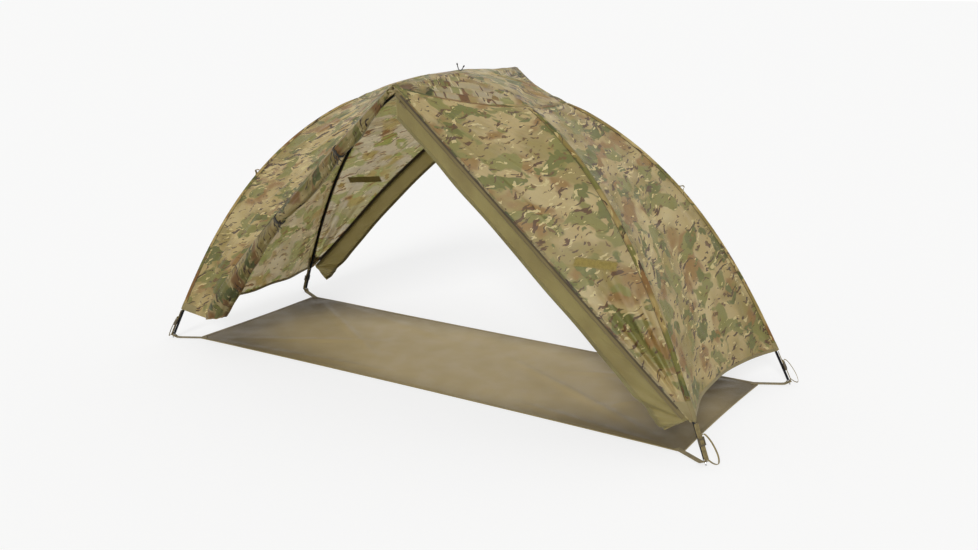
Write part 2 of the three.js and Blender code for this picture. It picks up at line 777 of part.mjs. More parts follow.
const sheetLength = footSpanX - 2 * sheetEndMargin;
const sheetWidth = footSpanY - 2 * sheetSideMargin;

function groundsheet() {
  const shape = new THREE.Shape();
  const halfLength = sheetLength / 2;
  const halfWidth = sheetWidth / 2;
  shape.moveTo(-halfLength, -halfWidth);
  shape.quadraticCurveTo(0, -halfWidth + sheetSideCurve, halfLength, -halfWidth);
  shape.quadraticCurveTo(halfLength - sheetEndCurve, 0, halfLength, halfWidth);
  shape.quadraticCurveTo(0, halfWidth - sheetSideCurve, -halfLength, halfWidth);
  shape.quadraticCurveTo(-halfLength + sheetEndCurve, 0, -halfLength, -halfWidth);
  const options = { depth: sheetThickness, bevelEnabled: false, curveSegments: sheetCurveSteps };
  return new THREE.ExtrudeGeometry(shape, options);
}

// A flat strip that follows a path in the XZ plane and is as wide as given along Y
function ribbon(path, thickness, width) {
  const side = (sign) => path.map(([x, z], i) => {
    const before = path[Math.max(0, i - 1)];
    const after = path[Math.min(path.length - 1, i + 1)];
    const length = Math.hypot(after[0] - before[0], after[1] - before[1]);
    const offset = sign * thickness / 2 / length;
    return [x - (after[1] - before[1]) * offset, z + (after[0] - before[0]) * offset];
  });
  const outline = extrudedOutline([...side(-1), ...side(1).reverse()], width);
  return outline.rotateX(Math.PI / 2).translate(0, width / 2, 0);
}

const footOf = (name) => archAt[name].getPoint(0);
const leanOf = (name) => {
  const { along } = placeOn(archAt[name], 0);
  return Math.atan2(along.z, Math.hypot(along.x, along.y));
};

// Heights of the two grommets on the pin: the fly's strap sits right under the shoulder
const cornerStrapSeat = pinLength - contactGap - cornerStrapThickness / 2;
const sheetStrapSeat = cornerStrapSeat - (cornerStrapThickness + strapThickness) / 2 - strapStackGap;

// A frame at a foot, its X level and pointing the given way
function footFrame(name, angle) {
  const frame = new THREE.Matrix4().makeRotationZ(angle);
  return frame.setPosition(footOf(name));
}

// The same frame tipped so that its Z follows the pole
function poleFrame(name) {
  const foot = footOf(name);
  const frame = footFrame(name, Math.atan2(foot.y, foot.x));
  return frame.multiply(new THREE.Matrix4().makeRotationY(leanOf(name) - Math.PI / 2));
}

function pinCutter(name) {
  const radius = pinRadius + grommetClearance;
  const length = 2 * tipLength;
  const cutter = new THREE.CylinderGeometry(radius, radius, length, tubeSides * 2).rotateX(Math.PI / 2);
  return cutter.translate(0, 0, pinLength).applyMatrix4(poleFrame(name));
}

function groundsheetStrap(name) {
  const foot = footOf(name);
  const corner = vector(Math.sign(foot.x) * sheetLength / 2, Math.sign(foot.y) * sheetWidth / 2, 0);
  const way = foot.clone().sub(corner);
  const reach = Math.hypot(way.x, way.y);
  const lean = leanOf(name);
  const pinX = -sheetStrapSeat * Math.cos(lean);
  const pinZ = sheetStrapSeat * Math.sin(lean);
  const riseAngle = Math.PI / 2 - lean;
  const low = sheetThickness + contactGap + strapThickness / 2;
  const riseX = pinX - (pinZ - low) / Math.tan(riseAngle);
  const lift = strapRiseLength * strapLiftShare;
  const path = [
    [-reach - strapSewnLength, low], [riseX - 2 * lift, low],
    [riseX + lift, low + lift * Math.tan(riseAngle) / 2], [pinX, pinZ],
    [pinX + strapEndLength * Math.cos(riseAngle), pinZ + strapEndLength * Math.sin(riseAngle)],
  ];
  const strip = ribbon(path, strapThickness, strapWidth);
  strip.applyMatrix4(footFrame(name, Math.atan2(way.y, way.x)));
  return cut(strip, pinCutter(name));
}

const lockMiddle = poleRadius + lockBarThickness + 3 * lockClearance + cornerStrapThickness / 2;

// From its grommet on the pin the strap turns up beside the pole, through the lock, to the loop
function cornerStrap(name) {
  const bend = lockMiddle - pinRadius - grommetClearance - cornerStrapThickness;
  const turn = arcPoints(
    lockMiddle - bend, cornerStrapSeat + bend, bend, -Math.PI / 2, 0, cornerStrapBendSteps,
  );
  const path = [[-cornerStrapHeel, cornerStrapSeat], ...turn, [lockMiddle, cornerStrapTop]];
  const strap = ribbon(path, cornerStrapThickness, cornerStrapWidth);
  const loopReach = pullLoopReach * pullLoopReachShares[name];
  const loopCurve = new THREE.CatmullRomCurve3([
    vector(lockMiddle, 0, cornerStrapTop - cornerStrapThickness * 2),
    ...pullLoopPathShares.map(([out, up]) =>
      vector(lockMiddle + loopReach * out, 0, mix(pullLoopLow, pullLoopTop, up))),
  ]);
  const loopPath = loopCurve.getPoints(pullLoopSteps).map((p) => [p.x, p.z]);
  const loop = ribbon(loopPath, cornerStrapThickness, pullLoopWidth);
  const whole = joined(strap, loop).applyMatrix4(poleFrame(name));
  return cut(whole, pinCutter(name));
}

function cornerLock(name) {
  const half = cornerStrapWidth / 2 + lockClearance + lockRailWidth / 2;
  const faceGap = cornerStrapThickness / 2 + lockClearance + lockBarThickness / 2;
  const depth = 2 * faceGap + lockBarThickness;
  const box = (width, height, length, x, y, z) =>
    new THREE.BoxGeometry(width, height, length).translate(x, y, z);
  const middle = lockFoot + lockLength / 2;
  const rails = [-1, 1].map((side) =>
    box(depth, lockRailWidth, lockLength, lockMiddle, side * half, middle));
  const bar = (side, at) => box(
    lockBarThickness, 2 * half, lockBarWidth, lockMiddle + side * faceGap, 0, at,
  );
  const low = lockFoot + lockBarWidth / 2;
  const high = lockFoot + lockLength - lockBarWidth / 2;
  return joined(...rails, bar(1, low), bar(-1, middle), bar(1, high - lockBarWidth), bar(-1, high))
    .applyMatrix4(poleFrame(name));
}

// The sewn tab runs from the fly's corner down the pole to the lock
function flyCornerTab(name) {
  const middle = lockMiddle - cornerStrapThickness / 2 - lockClearance - lockBarThickness / 2;
  const frame = poleFrame(name);
  const corner = placeOn(archAt[name], edges[name].corner);
  const end = corner.origin.distanceTo(footOf(name)) - tabHemLap;
  const path = [[middle, lockFoot + lockLength + contactGap], [middle, end]];
  return ribbon(path, tabThickness, tabWidth).applyMatrix4(frame);
}

function topTie() {
  const low = capTop + shellThickness + contactGap + tieRadius;
  const curve = new THREE.CatmullRomCurve3(tiePathShares.map(([x, y, z]) =>
    vector(tieSpread * x, tieSpread * y, low + tieHeight * z)));
  const outline = arcPoints(0, 0, tieRadius, 0, 2 * Math.PI, tieSides).slice(0, -1);
  const shape = new THREE.Shape(outline.map(([x, y]) => new THREE.Vector2(x, y)));
  return new THREE.ExtrudeGeometry(shape, { steps: tieSteps, extrudePath: curve });
}

// Everything round one door, drawn for the front; the back is the same, half a turn round
function doorSide(door, zipSide, rollSide) {
  const group = new THREE.Group();
  group.add(piece(`fly_panel_${door}_${zipSide}`, sidePanel("front_right"), "fly"));
  group.add(piece(`fly_panel_${door}_${rollSide}`, sidePanel("front_left"), "fly"));
  group.add(piece(`storm_flap_${door}`, stormFlap(), "tan"));
  group.add(piece(`zip_tape_${door}`, zipTape(), "zip"));
  group.add(piece(`zip_slider_${door}`, zipSlider(), "zip"));
  group.add(piece(`zip_pull_${door}`, zipPull(), "zip"));
  group.add(piece(`rolled_door_${door}`, rolledDoor(), "fly"));
  toggleShares.forEach((share, i) => {
    group.add(piece(`roll_toggle_${door}_${i + 1}`, rollToggle(share), "plastic"));
  });
  group.add(piece(`olive_tape_${door}`, oliveTape(oliveTapeRises[door]), "olive"));
  return group;
}

const tent = new THREE.Group();
archPole(tent, "low_arch", archAt.front_left);
archPole(tent, "high_arch", archAt.back_left);
browPole(tent);

tent.add(piece("fly_top_cap", topCap(), "fly"));
const endPanels = { left: 0, right: Math.PI };
for (const [side, turn] of Object.entries(endPanels)) {
  const panel = piece(`fly_panel_${side}_end`, endPanel(), "fly");
  panel.rotation.z = turn;
  tent.add(panel);
}
tent.add(doorSide("front", "right", "left"));
const back = doorSide("back", "left", "right");
back.rotation.z = Math.PI;
tent.add(back);

tent.add(piece("groundsheet", groundsheet(), "tan"));
for (const name of cornerNames) {
  tent.add(piece(`pole_tip_${name}`, poleTip(archAt[name]), "steel"));
  tent.add(piece(`groundsheet_strap_${name}`, groundsheetStrap(name), "webbing"));
  tent.add(piece(`corner_strap_${name}`, cornerStrap(name), "webbing"));
  tent.add(piece(`corner_lock_${name}`, cornerLock(name), "plastic"));
  tent.add(piece(`fly_corner_tab_${name}`, flyCornerTab(name), "webbing"));
}
tent.add(piece("top_tie", topTie(), "cord"));

export default tent;
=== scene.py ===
import math

import bmesh
import bpy
import numpy as np
from mathutils import Matrix, Vector


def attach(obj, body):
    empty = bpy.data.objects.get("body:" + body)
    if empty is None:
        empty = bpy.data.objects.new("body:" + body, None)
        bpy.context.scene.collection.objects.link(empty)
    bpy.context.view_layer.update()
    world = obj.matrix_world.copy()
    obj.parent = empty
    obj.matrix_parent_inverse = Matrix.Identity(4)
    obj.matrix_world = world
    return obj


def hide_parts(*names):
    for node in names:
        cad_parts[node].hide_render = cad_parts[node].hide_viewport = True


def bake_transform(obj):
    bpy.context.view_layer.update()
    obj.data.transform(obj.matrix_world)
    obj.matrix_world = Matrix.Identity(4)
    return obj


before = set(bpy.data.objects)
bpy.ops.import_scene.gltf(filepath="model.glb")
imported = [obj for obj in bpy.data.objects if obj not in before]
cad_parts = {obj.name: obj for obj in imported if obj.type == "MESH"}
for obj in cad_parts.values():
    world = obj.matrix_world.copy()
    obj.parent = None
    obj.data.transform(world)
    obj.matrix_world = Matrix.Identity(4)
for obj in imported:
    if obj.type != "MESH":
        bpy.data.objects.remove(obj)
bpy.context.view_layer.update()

# Sizes in metres, as the part has them
FOOT_X, FOOT_Y = 1.150, 0.404
CROSSING_HEIGHT = 1.079
ARCH_SHARES = (0.203, 0.343, -0.321)
POLE_RADIUS, BORE_RADIUS = 0.0044, 0.0034
CONTACT_GAP = 0.0003
FERRULE_CLEARANCE = 0.00035
PIN_RADIUS, PIN_LENGTH = 0.0025, 0.016
COLLAR_RADIUS, COLLAR_LENGTH = 0.0047, 0.0045
SPIGOT_LENGTH = 0.025
SHOCK_CORD_RADIUS = 0.0013
SECTIONS = 5
SECTION_STEPS = 9
BROW_HALF, BROW_DROP, BROW_STEPS = 0.397, 0.018, 5

SEAT_CLEARANCE = 0.0008
SEAM_GAP = 0.0004
CAP_REACH, CAP_SIDE_SAG, CAP_END_SAG = 0.381, 0.017, 0.008
CORNER_HEIGHT = 0.121
END_SAG, END_FOLD, END_FOLDS, END_CUT = 0.066, 0.004, 3, 0.042
SIDE_SAG, SIDE_FOLD = 0.022, 0.012
CLOTH = 0.001

POLE_STACK = 2 * POLE_RADIUS + CONTACT_GAP
BROW_TOP = CROSSING_HEIGHT + POLE_STACK
DOOR_PLANE = BROW_HALF + SEAT_CLEARANCE + POLE_RADIUS + 0.001
PEAK = np.array([0, -DOOR_PLANE, BROW_TOP - BROW_DROP + POLE_RADIUS + SEAT_CLEARANCE])
ZIP_FOOT = np.array([1.092, -DOOR_PLANE, 0.12744])
ROLL_CONTROL = np.array([-0.912, -DOOR_PLANE, 0.268])
ROLL_FOOT = np.array([-0.923, -DOOR_PLANE, 0.114])
CAP_TOP = BROW_TOP + POLE_RADIUS + SEAT_CLEARANCE
ZIP_WAY = (ZIP_FOOT - PEAK) / np.linalg.norm(ZIP_FOOT - PEAK)
ZIP_INWARD = np.array([ZIP_WAY[2], 0, -ZIP_WAY[0]])
ZIP_SLOPE = -ZIP_WAY[2] / ZIP_WAY[0]
EDGE_BULGE = {"front": 0.0, "back": 0.032}
UP = np.array([0.0, 0, 1])
FRONTWARD = np.array([0.0, -1, 0])

ZIP_TAPE, ZIP_THICK, COIL_RADIUS = 0.013, 0.001, 0.0016
ZIP_START, ZIP_FINISH = 0.026, 0.024
TAPE_MIDDLE = 0.001
COIL_CENTRE = CONTACT_GAP + ZIP_TAPE + COIL_RADIUS
FLAP_TOP, FLAP_FOOT, FLAP_THICK = 0.073, 0.094, 0.0012
FLAP_SET_BACK, FLAP_INSET, FLAP_START, FLAP_FINISH, FLAP_RISE = 0.006, 0.0012, 0.014, 0.010, 0.024

ROLL_RADIUS, ROLL_LEAN = 0.040, math.radians(20)
ROLL_START, ROLL_FINISH, ROLL_LOBE = 0.028, 0.006, 0.05
ROLL_SHARES = [
    (0, 0.2), (0.08, 0.42), (0.16, 0.62), (0.231, 0.52), (0.3, 0.66), (0.4, 0.72),
    (0.48, 0.58), (0.538, 0.46), (0.6, 0.6), (0.72, 0.82), (0.84, 1), (0.91, 0.98), (1, 0.86),
]
TOGGLE_SHARES = (6 / 26, 14 / 26)
TOGGLE_RADIUS, TOGGLE_LENGTH, TOGGLE_NECK, TOGGLE_NECK_LENGTH = 0.003, 0.028, 0.002, 0.0024

TAPE_X, TAPE_RISE, TAPE_SIZE = 0.735, {"front": 0.1257, "back": 0.1437}, (0.127, 0.025)
TAPE_TILT = math.radians(3.5)
SHEET_X, SHEET_Y = 1.0535, 0.3515
SHEET_SIDE_CURVE, SHEET_END_CURVE = 0.022, 0.014
STRAP_WIDTH, STRAP_THICK, STRAP_SEWN = 0.020, 0.0014, 0.032
CORNER_STRAP_WIDTH, CORNER_STRAP_TOP, CORNER_STRAP_HEEL = 0.018, 0.096, 0.009
LOCK_FOOT, LOCK_LENGTH, LOCK_BAR, LOCK_BAR_THICK, LOCK_RAIL, LOCK_GAP = (
    0.060, 0.027, 0.004, 0.0026, 0.003, 0.00045,
)
LOCK_MIDDLE = POLE_RADIUS + LOCK_BAR_THICK + 3 * LOCK_GAP + STRAP_THICK / 2
STRAP_SEAT = PIN_LENGTH - CONTACT_GAP - STRAP_THICK / 2
LOOP_REACH = {"front_left": 0.011, "back_right": 0.025, "back_left": 0.011, "front_right": 0.050}
LOOP_SHARES = [(0.4, 1.08), (0.8, 0.75), (1, 0.28), (0.85, 0), (0.45, 0.03), (0, 0.23)]
CORNERS = {"front_left": (-1, -1), "back_right": (1, 1), "back_left": (-1, 1), "front_right": (1, -1)}
DOORS = {"front": ("right", "left"), "back": ("left", "right")}
HOLE_RADIUS, TIE_RADIUS = 0.0034, 0.0016
GUY_LOOP_HEIGHT, GUY_LOOP_SIZE = 0.697, (0.012, 0.0016)
STITCH = {"Pitch": 0.0042, "Length": 0.0030, "Radius": 0.00032, "Sides": 6}

# Rows and columns of the points that each kind of cloth is made of
SIDE_GRID, END_GRID, SHEET_GRID = (240, 130), (170, 150), (300, 110)
FLAP_GRID, ROLL_GRID = (320, 30), (170, 280)
CAP_STEPS, CAP_RINGS = 44, 90

# The camera's place in metres, its lens and sensor in millimetres and its turns in degrees
CAMERA_PLACE, CAMERA_LENS, CAMERA_SENSOR = (2.24, -3.35, 1.432), 40.82, 36
CAMERA_TURN, CAMERA_TILT, CAMERA_ROLL = 32.313, 74.792, -0.083

# Light: each lamp's direction, strength and spread in degrees
LAMPS = {"key": ((0.40, -1.15, 0.60), 2.05, 14), "fill": ((0.3, 0.8, 0.8), 0.3, 60)}
SKY_LIGHT, FLOOR_WHITENESS, FLOOR_REACH, FLOOR_DROP = 0.53, 0.68, 60.0, 0.0005
WHITE, FLOOR_TONE = (1, 1, 1, 1), (0.93, 0.93, 0.92, 1)

# Cloth that light comes through: how deep it spreads, and the dye over the whole print
GLOW_DEPTH = 0.012
FLY_DYE = (0.76, 0.67, 0.44, 1)


# Objects and nodes

def linked(name, data):
    piece = bpy.data.objects.new(name, data)
    bpy.context.scene.collection.objects.link(piece)
    return piece


def settled(piece, modifier):
    """Keeps what a modifier makes as the piece's plain mesh."""
    graph = bpy.context.evaluated_depsgraph_get()
    made = bpy.data.meshes.new_from_object(piece.evaluated_get(graph))
    piece.modifiers.remove(modifier)
    piece.data = made
    return piece


def add_node(tree, kind, inputs=(), **settings):
    """Adds a node, with each input fed by a value or by another node's socket."""
    node = tree.nodes.new(kind)
    for label, value in settings.items():
        setattr(node, label, value)
    for label, value in dict(inputs).items():
        if isinstance(value, bpy.types.NodeSocket):
            tree.links.new(value, node.inputs[label])
        else:
            node.inputs[label].default_value = value
    return node


def make_camera():
    """Stands where the photograph was taken from."""
    data = bpy.data.cameras.new("camera")
    data.sensor_width = CAMERA_SENSOR
    data.lens = CAMERA_LENS
    camera = linked("camera", data)
    place = Matrix.Translation(CAMERA_PLACE)
    for degrees, axis in ((CAMERA_TURN, "Z"), (CAMERA_TILT, "X"), (CAMERA_ROLL, "Z")):
        place = place @ Matrix.Rotation(math.radians(degrees), 4, axis)
    camera.matrix_world = place
    bpy.context.scene.camera = camera


# Small tools for shapes

def grid(rows, cols):
    """Two grids of numbers: one that changes from row to row, one from column to column."""
    return np.meshgrid(rows, cols, indexing="ij")


def unit(vectors):
    return vectors / np.linalg.norm(vectors, axis=-1, keepdims=True)


def mix(a, b, share):
    return a + (b - a) * share


def bow(share):
    return 4 * share * (1 - share)


def ease(value, low, high):
    share = np.clip((value - low) / (high - low), 0, 1)
    return share * share * (3 - 2 * share)


def half_turn(points):
    return points * np.array([-1.0, -1, 1])


def for_door(door, points):
    """Points drawn for the front door, or turned for the back one."""
    return points if door == "front" else half_turn(points)


class Path:
    """A line measured along its length, which runs on straight past both ends."""

    def __init__(self, points):
        self.points = np.asarray(points, float)
        steps = np.linalg.norm(np.diff(self.points, axis=0), axis=1)
        self.marks = np.concatenate([[0.0], np.cumsum(steps)])
        self.length = self.marks[-1]

    def inside(self, distance):
        return np.stack([np.interp(distance, self.marks, self.points[:, k]) for k in range(3)], -1)

    def way(self, distance):
        step = min(0.004, self.length / 8)
        near = np.clip(distance, step, self.length - step)
        return unit(self.inside(near + step) - self.inside(near - step))

    def at(self, distance):
        distance = np.asarray(distance, float)
        near = np.clip(distance, 0, self.length)
        return self.inside(near) + (distance - near)[..., None] * self.way(distance)


def arch(side_x, side_y, height):
    reach = np.linspace(-1, 1, 1201)
    square = reach * reach
    a, b, c = ARCH_SHARES
    full = 1 + square * (a + square * (b + square * c))
    return Path(np.stack([-side_x * FOOT_X * reach, -side_y * FOOT_Y * reach,
                          height * (1 - square) * full], -1))


def bezier(start, control, end, samples=400):
    t = np.linspace(0, 1, samples)[:, None]
    return Path((1 - t) ** 2 * start + 2 * t * (1 - t) * control + t * t * end)


def smooth_path(points, samples=12):
    """A rounded line through all the points."""
    points = np.asarray(points, float)
    ends = [2 * points[0] - points[1], *points, 2 * points[-1] - points[-2]]
    made = []
    for p0, p1, p2, p3 in zip(ends, ends[1:], ends[2:], ends[3:]):
        t = np.linspace(0, 1, samples, endpoint=False)[:, None]
        made.append(0.5 * (2 * p1 + (p2 - p0) * t + (2 * p0 - 5 * p1 + 4 * p2 - p3) * t * t
                           + (3 * p1 - p0 - 3 * p2 + p3) * t ** 3))
    return np.concatenate([*made, points[-1:]])


ARCHES = {
    name: arch(*side, CROSSING_HEIGHT - (POLE_STACK if name in ("front_left", "back_right") else 0))
    for name, side in CORNERS.items()
}
ROLL_EDGE = bezier(PEAK, ROLL_CONTROL, ROLL_FOOT)
STRAIGHT_EDGE = Path(np.linspace(PEAK, ZIP_FOOT, 400))


def zip_edge(door):
    share = np.linspace(0, 1, 400)[:, None]
    return Path(mix(PEAK, ZIP_FOOT, share) - ZIP_INWARD * EDGE_BULGE[door] * bow(share) ** 2)


def edge_lengths(name):
    """How far along its pole a seam ends at the cap and at the corner."""
    path = ARCHES[name]
    half = len(path.points) // 2
    at_cap = np.interp(FOOT_X * (1 - CAP_REACH / math.hypot(FOOT_X, FOOT_Y)),
                       FOOT_X - np.abs(path.points[:half, 0]), path.marks[:half])
    at_corner = np.interp(CORNER_HEIGHT, path.points[:half, 2], path.marks[:half])
    return at_cap, at_corner


SEAM_SHARES = np.linspace(-0.03, 1.05, 271)


def seat_line(name):
    """Where the cloth turns over a front pole, from the cap down to the corner."""
    path = ARCHES[name]
    at_cap, at_corner = edge_lengths(name)
    distance = mix(at_cap, at_corner, SEAM_SHARES)
    origin, along = path.at(distance), path.way(distance)
    outward = np.array([1.0 if name == "front_right" else -1.0, 0, 0])
    edge = STRAIGHT_EDGE if name == "front_right" else ROLL_EDGE
    edge_points = edge.at(SEAM_SHARES * edge.length)

    def square_to(across, side):
        normal = unit(np.cross(along, across))
        return normal * np.where(normal @ side < 0, -1, 1)[:, None]

    level = square_to(np.broadcast_to(FRONTWARD, along.shape), outward)
    sag = mix(CAP_END_SAG, END_SAG, SEAM_SHARES)[:, None]
    end_normal = square_to(-FRONTWARD * np.abs(origin[:, 1:2]) - 2 * sag * level, outward)
    seat = origin
    for _ in range(4):
        side_normal = square_to(edge_points - seat, FRONTWARD)
        ridge = unit(side_normal + end_normal)
        miter = np.sum(ridge * end_normal, axis=1, keepdims=True)
        seat = origin + ridge * (POLE_RADIUS + SEAT_CLEARANCE) / miter
    return seat


SEATS = {name: seat_line(name) for name in ("front_left", "front_right")}
SEATS["back_right"] = half_turn(SEATS["front_left"])
SEATS["back_left"] = half_turn(SEATS["front_right"])


def seat_on(name, share):
    return np.stack([np.interp(share, SEAM_SHARES, SEATS[name][:, k]) for k in range(3)], -1)


# Meshes from grids of points

def grid_normals(points, ring=False):
    if ring:
        wrapped = np.concatenate([points[:, -1:], points, points[:, :1]], 1)
        across = (wrapped[:, 2:] - wrapped[:, :-2]) / 2
    else:
        across = np.gradient(points, axis=1)
    return unit(np.cross(across, np.gradient(points, axis=0)))


def grid_faces(rows, cols, start=0, ring=False):
    index = start + np.arange(rows * cols).reshape(rows, cols)
    if ring:
        index = np.concatenate([index, index[:, :1]], 1)
    corners = [index[:-1, :-1], index[:-1, 1:], index[1:, 1:], index[1:, :-1]]
    return np.stack(corners, -1).reshape(-1, 4)


def border(rows, cols, ring=False):
    """The grid's open edges as runs of vertex numbers, in the sense of its faces."""
    index = np.arange(rows * cols).reshape(rows, cols)
    if ring:
        return [np.append(index[0], index[0, 0]), np.append(index[-1], index[-1, 0])[::-1]]
    around = np.concatenate([index[0], index[1:, -1], index[-1, -2::-1], index[-2:0:-1, 0]])
    return [np.append(around, around[0])]


def closed_shell(points, thickness, outside, ring=False):
    """Vertices and faces of a closed sheet whose inner face is the grid."""
    rows, cols = points.shape[:2]
    normal = grid_normals(points, ring)
    flip = float(np.sum(normal * outside)) < 0
    if flip:
        normal = -normal
    outer = points + normal * thickness
    count = rows * cols
    top = grid_faces(rows, cols, 0, ring)
    under = grid_faces(rows, cols, count, ring)[:, ::-1]
    rims = [np.stack([run[1:], run[:-1], run[:-1] + count, run[1:] + count], -1)
            for run in border(rows, cols, ring)]
    faces = np.concatenate([top, under, *rims])
    if flip:
        faces = faces[:, ::-1]
    return np.concatenate([outer.reshape(-1, 3), points.reshape(-1, 3)]), faces, outer, normal


def cloth_uv(points, turn=0.0, shift=(0.0, 0.0)):
    """Metres along the cloth: across each row from its middle, and down the middle column."""
    steps = np.linalg.norm(np.diff(points, axis=1), axis=2)
    across = np.concatenate([np.zeros((len(points), 1)), np.cumsum(steps, 1)], 1)
    across -= across[:, -1:] / 2
    middle = points[:, points.shape[1] // 2]
    down = np.concatenate([[0], np.cumsum(np.linalg.norm(np.diff(middle, axis=0), axis=1))])
    down = np.broadcast_to(down[:, None], across.shape)
    cos, sin = math.cos(turn), math.sin(turn)
    return np.stack([across * cos - down * sin + shift[0], across * sin + down * cos + shift[1]], -1)


def add_mesh(name, points, faces, finish, uv=None, crease=45):
    mesh = bpy.data.meshes.new(name)
    mesh.from_pydata(np.asarray(points).tolist(), [], [list(map(int, face)) for face in faces])
    mesh.polygons.foreach_set("use_smooth", [True] * len(mesh.polygons))
    mesh.set_sharp_from_angle(angle=math.radians(crease))
    if uv is not None:
        layer = mesh.uv_layers.new(name="cloth")
        order = np.empty(len(mesh.loops), int)
        mesh.loops.foreach_get("vertex_index", order)
        layer.data.foreach_set("uv", np.asarray(uv, np.float32)[order].ravel())
    mesh.materials.append(finish)
    return linked(name, mesh)


def carry(piece, body="frame", stands_for=()):
    """Sends a piece along with its body, and hides the nodes it stands for."""
    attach(piece, body)
    if stands_for:
        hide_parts(*stands_for)
    return piece


class Cloth:
    """A closed sheet over a grid of points, which other pieces can be laid on."""

    def __init__(self, name, points, finish, outside, turn=0.0, shift=(0.0, 0.0), thickness=CLOTH):
        self.points = points
        vertices, faces, self.outer, self.normal = closed_shell(points, thickness, outside)
        uv = cloth_uv(points, turn, shift).reshape(-1, 2)
        self.piece = add_mesh(name, vertices, faces, finish, np.concatenate([uv, uv]))
        self.width = np.linalg.norm(np.diff(points, axis=1), axis=2).sum(1)
        self.length = np.linalg.norm(np.diff(points[:, points.shape[1] // 2], axis=0), axis=1).sum()

    def line(self, down, across, lift=0.0, inside=False):
        """Points on the sheet at shares down and across it, lifted off it."""
        base = self.points if inside else self.outer
        rows, cols = base.shape[:2]
        down, across = np.broadcast_arrays(np.asarray(down, float), np.asarray(across, float))
        row, col = np.clip(down, 0, 1) * (rows - 1), np.clip(across, 0, 1) * (cols - 1)
        r, c = np.minimum(row.astype(int), rows - 2), np.minimum(col.astype(int), cols - 2)
        fr, fc = (row - r)[..., None], (col - c)[..., None]
        lift = np.asarray(lift, float)[..., None] * (-1 if inside else 1)

        def blended(values):
            above = mix(values[r, c], values[r, c + 1], fc)
            below = mix(values[r + 1, c], values[r + 1, c + 1], fc)
            return mix(above, below, fr)

        return blended(base) + blended(self.normal) * lift

    def width_at(self, down):
        return np.interp(down, np.linspace(0, 1, len(self.width)), self.width)

    def declare(self, held, rests_on, with_pieces=()):
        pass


def band(name, lines, thickness, finish, outside, turn=0.3, shift=(0, 0), ring=False,
         stands_for=()):
    """A closed strip of cloth over a run of lines, all with the same number of points."""
    points = np.stack(lines)
    vertices, faces, _, _ = closed_shell(points, thickness, outside, ring)
    uv = cloth_uv(points, turn, shift).reshape(-1, 2)
    piece = add_mesh(name, vertices, faces, finish, np.concatenate([uv, uv]))
    return carry(piece, stands_for=stands_for)


def ripple(u, v, seed, height, wave):
    """A gentle unevenness of slack cloth."""
    draw = np.random.default_rng(seed)
    total = np.zeros_like(u)
    for _ in range(9):
        angle = draw.uniform(0, math.pi)
        stretch = draw.uniform(0.5, 1.7)
        phase = draw.uniform(0, 2 * math.pi)
        turn = 2 * math.pi / (wave * stretch)
        total += np.sin((u * math.cos(angle) + v * math.sin(angle)) * turn + phase) * stretch
    return total * height / 4


def fold(down, across, width, line):
    """A ridge that runs from one place on a panel to another: shares, then height and half width."""
    (down_0, across_0), (down_1, across_1), height, size = line
    way = np.clip((down - down_0) / (down_1 - down_0), 0, 1)
    narrow = np.minimum(size, 0.16 * width)
    off = (across - mix(across_0, across_1, way)) * width
    return height * narrow / size * np.sin(math.pi * way) ** 0.7 * np.exp(-(off / narrow) ** 2)


# Node trees that grow what repeats along a path

def new_tree(name, sizes):
    tree = bpy.data.node_groups.new(name, "GeometryNodeTree")
    face = tree.interface
    face.new_socket("Path", in_out="INPUT", socket_type="NodeSocketGeometry")
    for label, kind in sizes:
        face.new_socket(label, in_out="INPUT", socket_type=kind)
    face.new_socket("Finish", in_out="INPUT", socket_type="NodeSocketMaterial")
    face.new_socket("Result", in_out="OUTPUT", socket_type="NodeSocketGeometry")
    given = add_node(tree, "NodeGroupInput")
    curve = add_node(tree, "GeometryNodeMeshToCurve", {0: given.outputs["Path"]})
    return tree, given.outputs, curve.outputs[0]


def end_tree(tree, given, grown):
    whole = add_node(tree, "GeometryNodeRealizeInstances", {0: grown})
    finish = add_node(tree, "GeometryNodeSetMaterial", {0: whole.outputs[0], "Material": given["Finish"]})
    add_node(tree, "NodeGroupOutput", {0: finish.outputs[0]})
    return tree


def cord_tree():
    """Sweeps a round section along each line of the path."""
    tree, given, curve = new_tree("cord", [("Radius", "NodeSocketFloat"), ("Sides", "NodeSocketInt")])
    circle = add_node(tree, "GeometryNodeCurvePrimitiveCircle", {
        "Radius": given["Radius"], "Resolution": given["Sides"],
    })
    sweep = add_node(tree, "GeometryNodeCurveToMesh", {
        "Curve": curve, "Profile Curve": circle.outputs[0], "Fill Caps": True,
    })
    shade = add_node(tree, "GeometryNodeSetShadeSmooth", {0: sweep.outputs[0]})
    return end_tree(tree, given, shade.outputs[0])


def stitch_tree():
    """Lays short rods end to end along each line of the path, with a gap between them."""
    tree, given, curve = new_tree("stitches", [
        ("Pitch", "NodeSocketFloat"), ("Length", "NodeSocketFloat"), ("Radius", "NodeSocketFloat"),
        ("Sides", "NodeSocketInt"),
    ])
    points = add_node(tree, "GeometryNodeCurveToPoints", {"Curve": curve, "Length": given["Pitch"]},
                      mode="LENGTH")
    rod = add_node(tree, "GeometryNodeMeshCylinder", {
        "Vertices": given["Sides"], "Radius": given["Radius"], "Depth": given["Length"],
    })
    place = add_node(tree, "GeometryNodeInstanceOnPoints", {
        "Points": points.outputs["Points"], "Rotation": points.outputs["Rotation"],
        "Instance": rod.outputs["Mesh"],
    })
    return end_tree(tree, given, place.outputs[0])


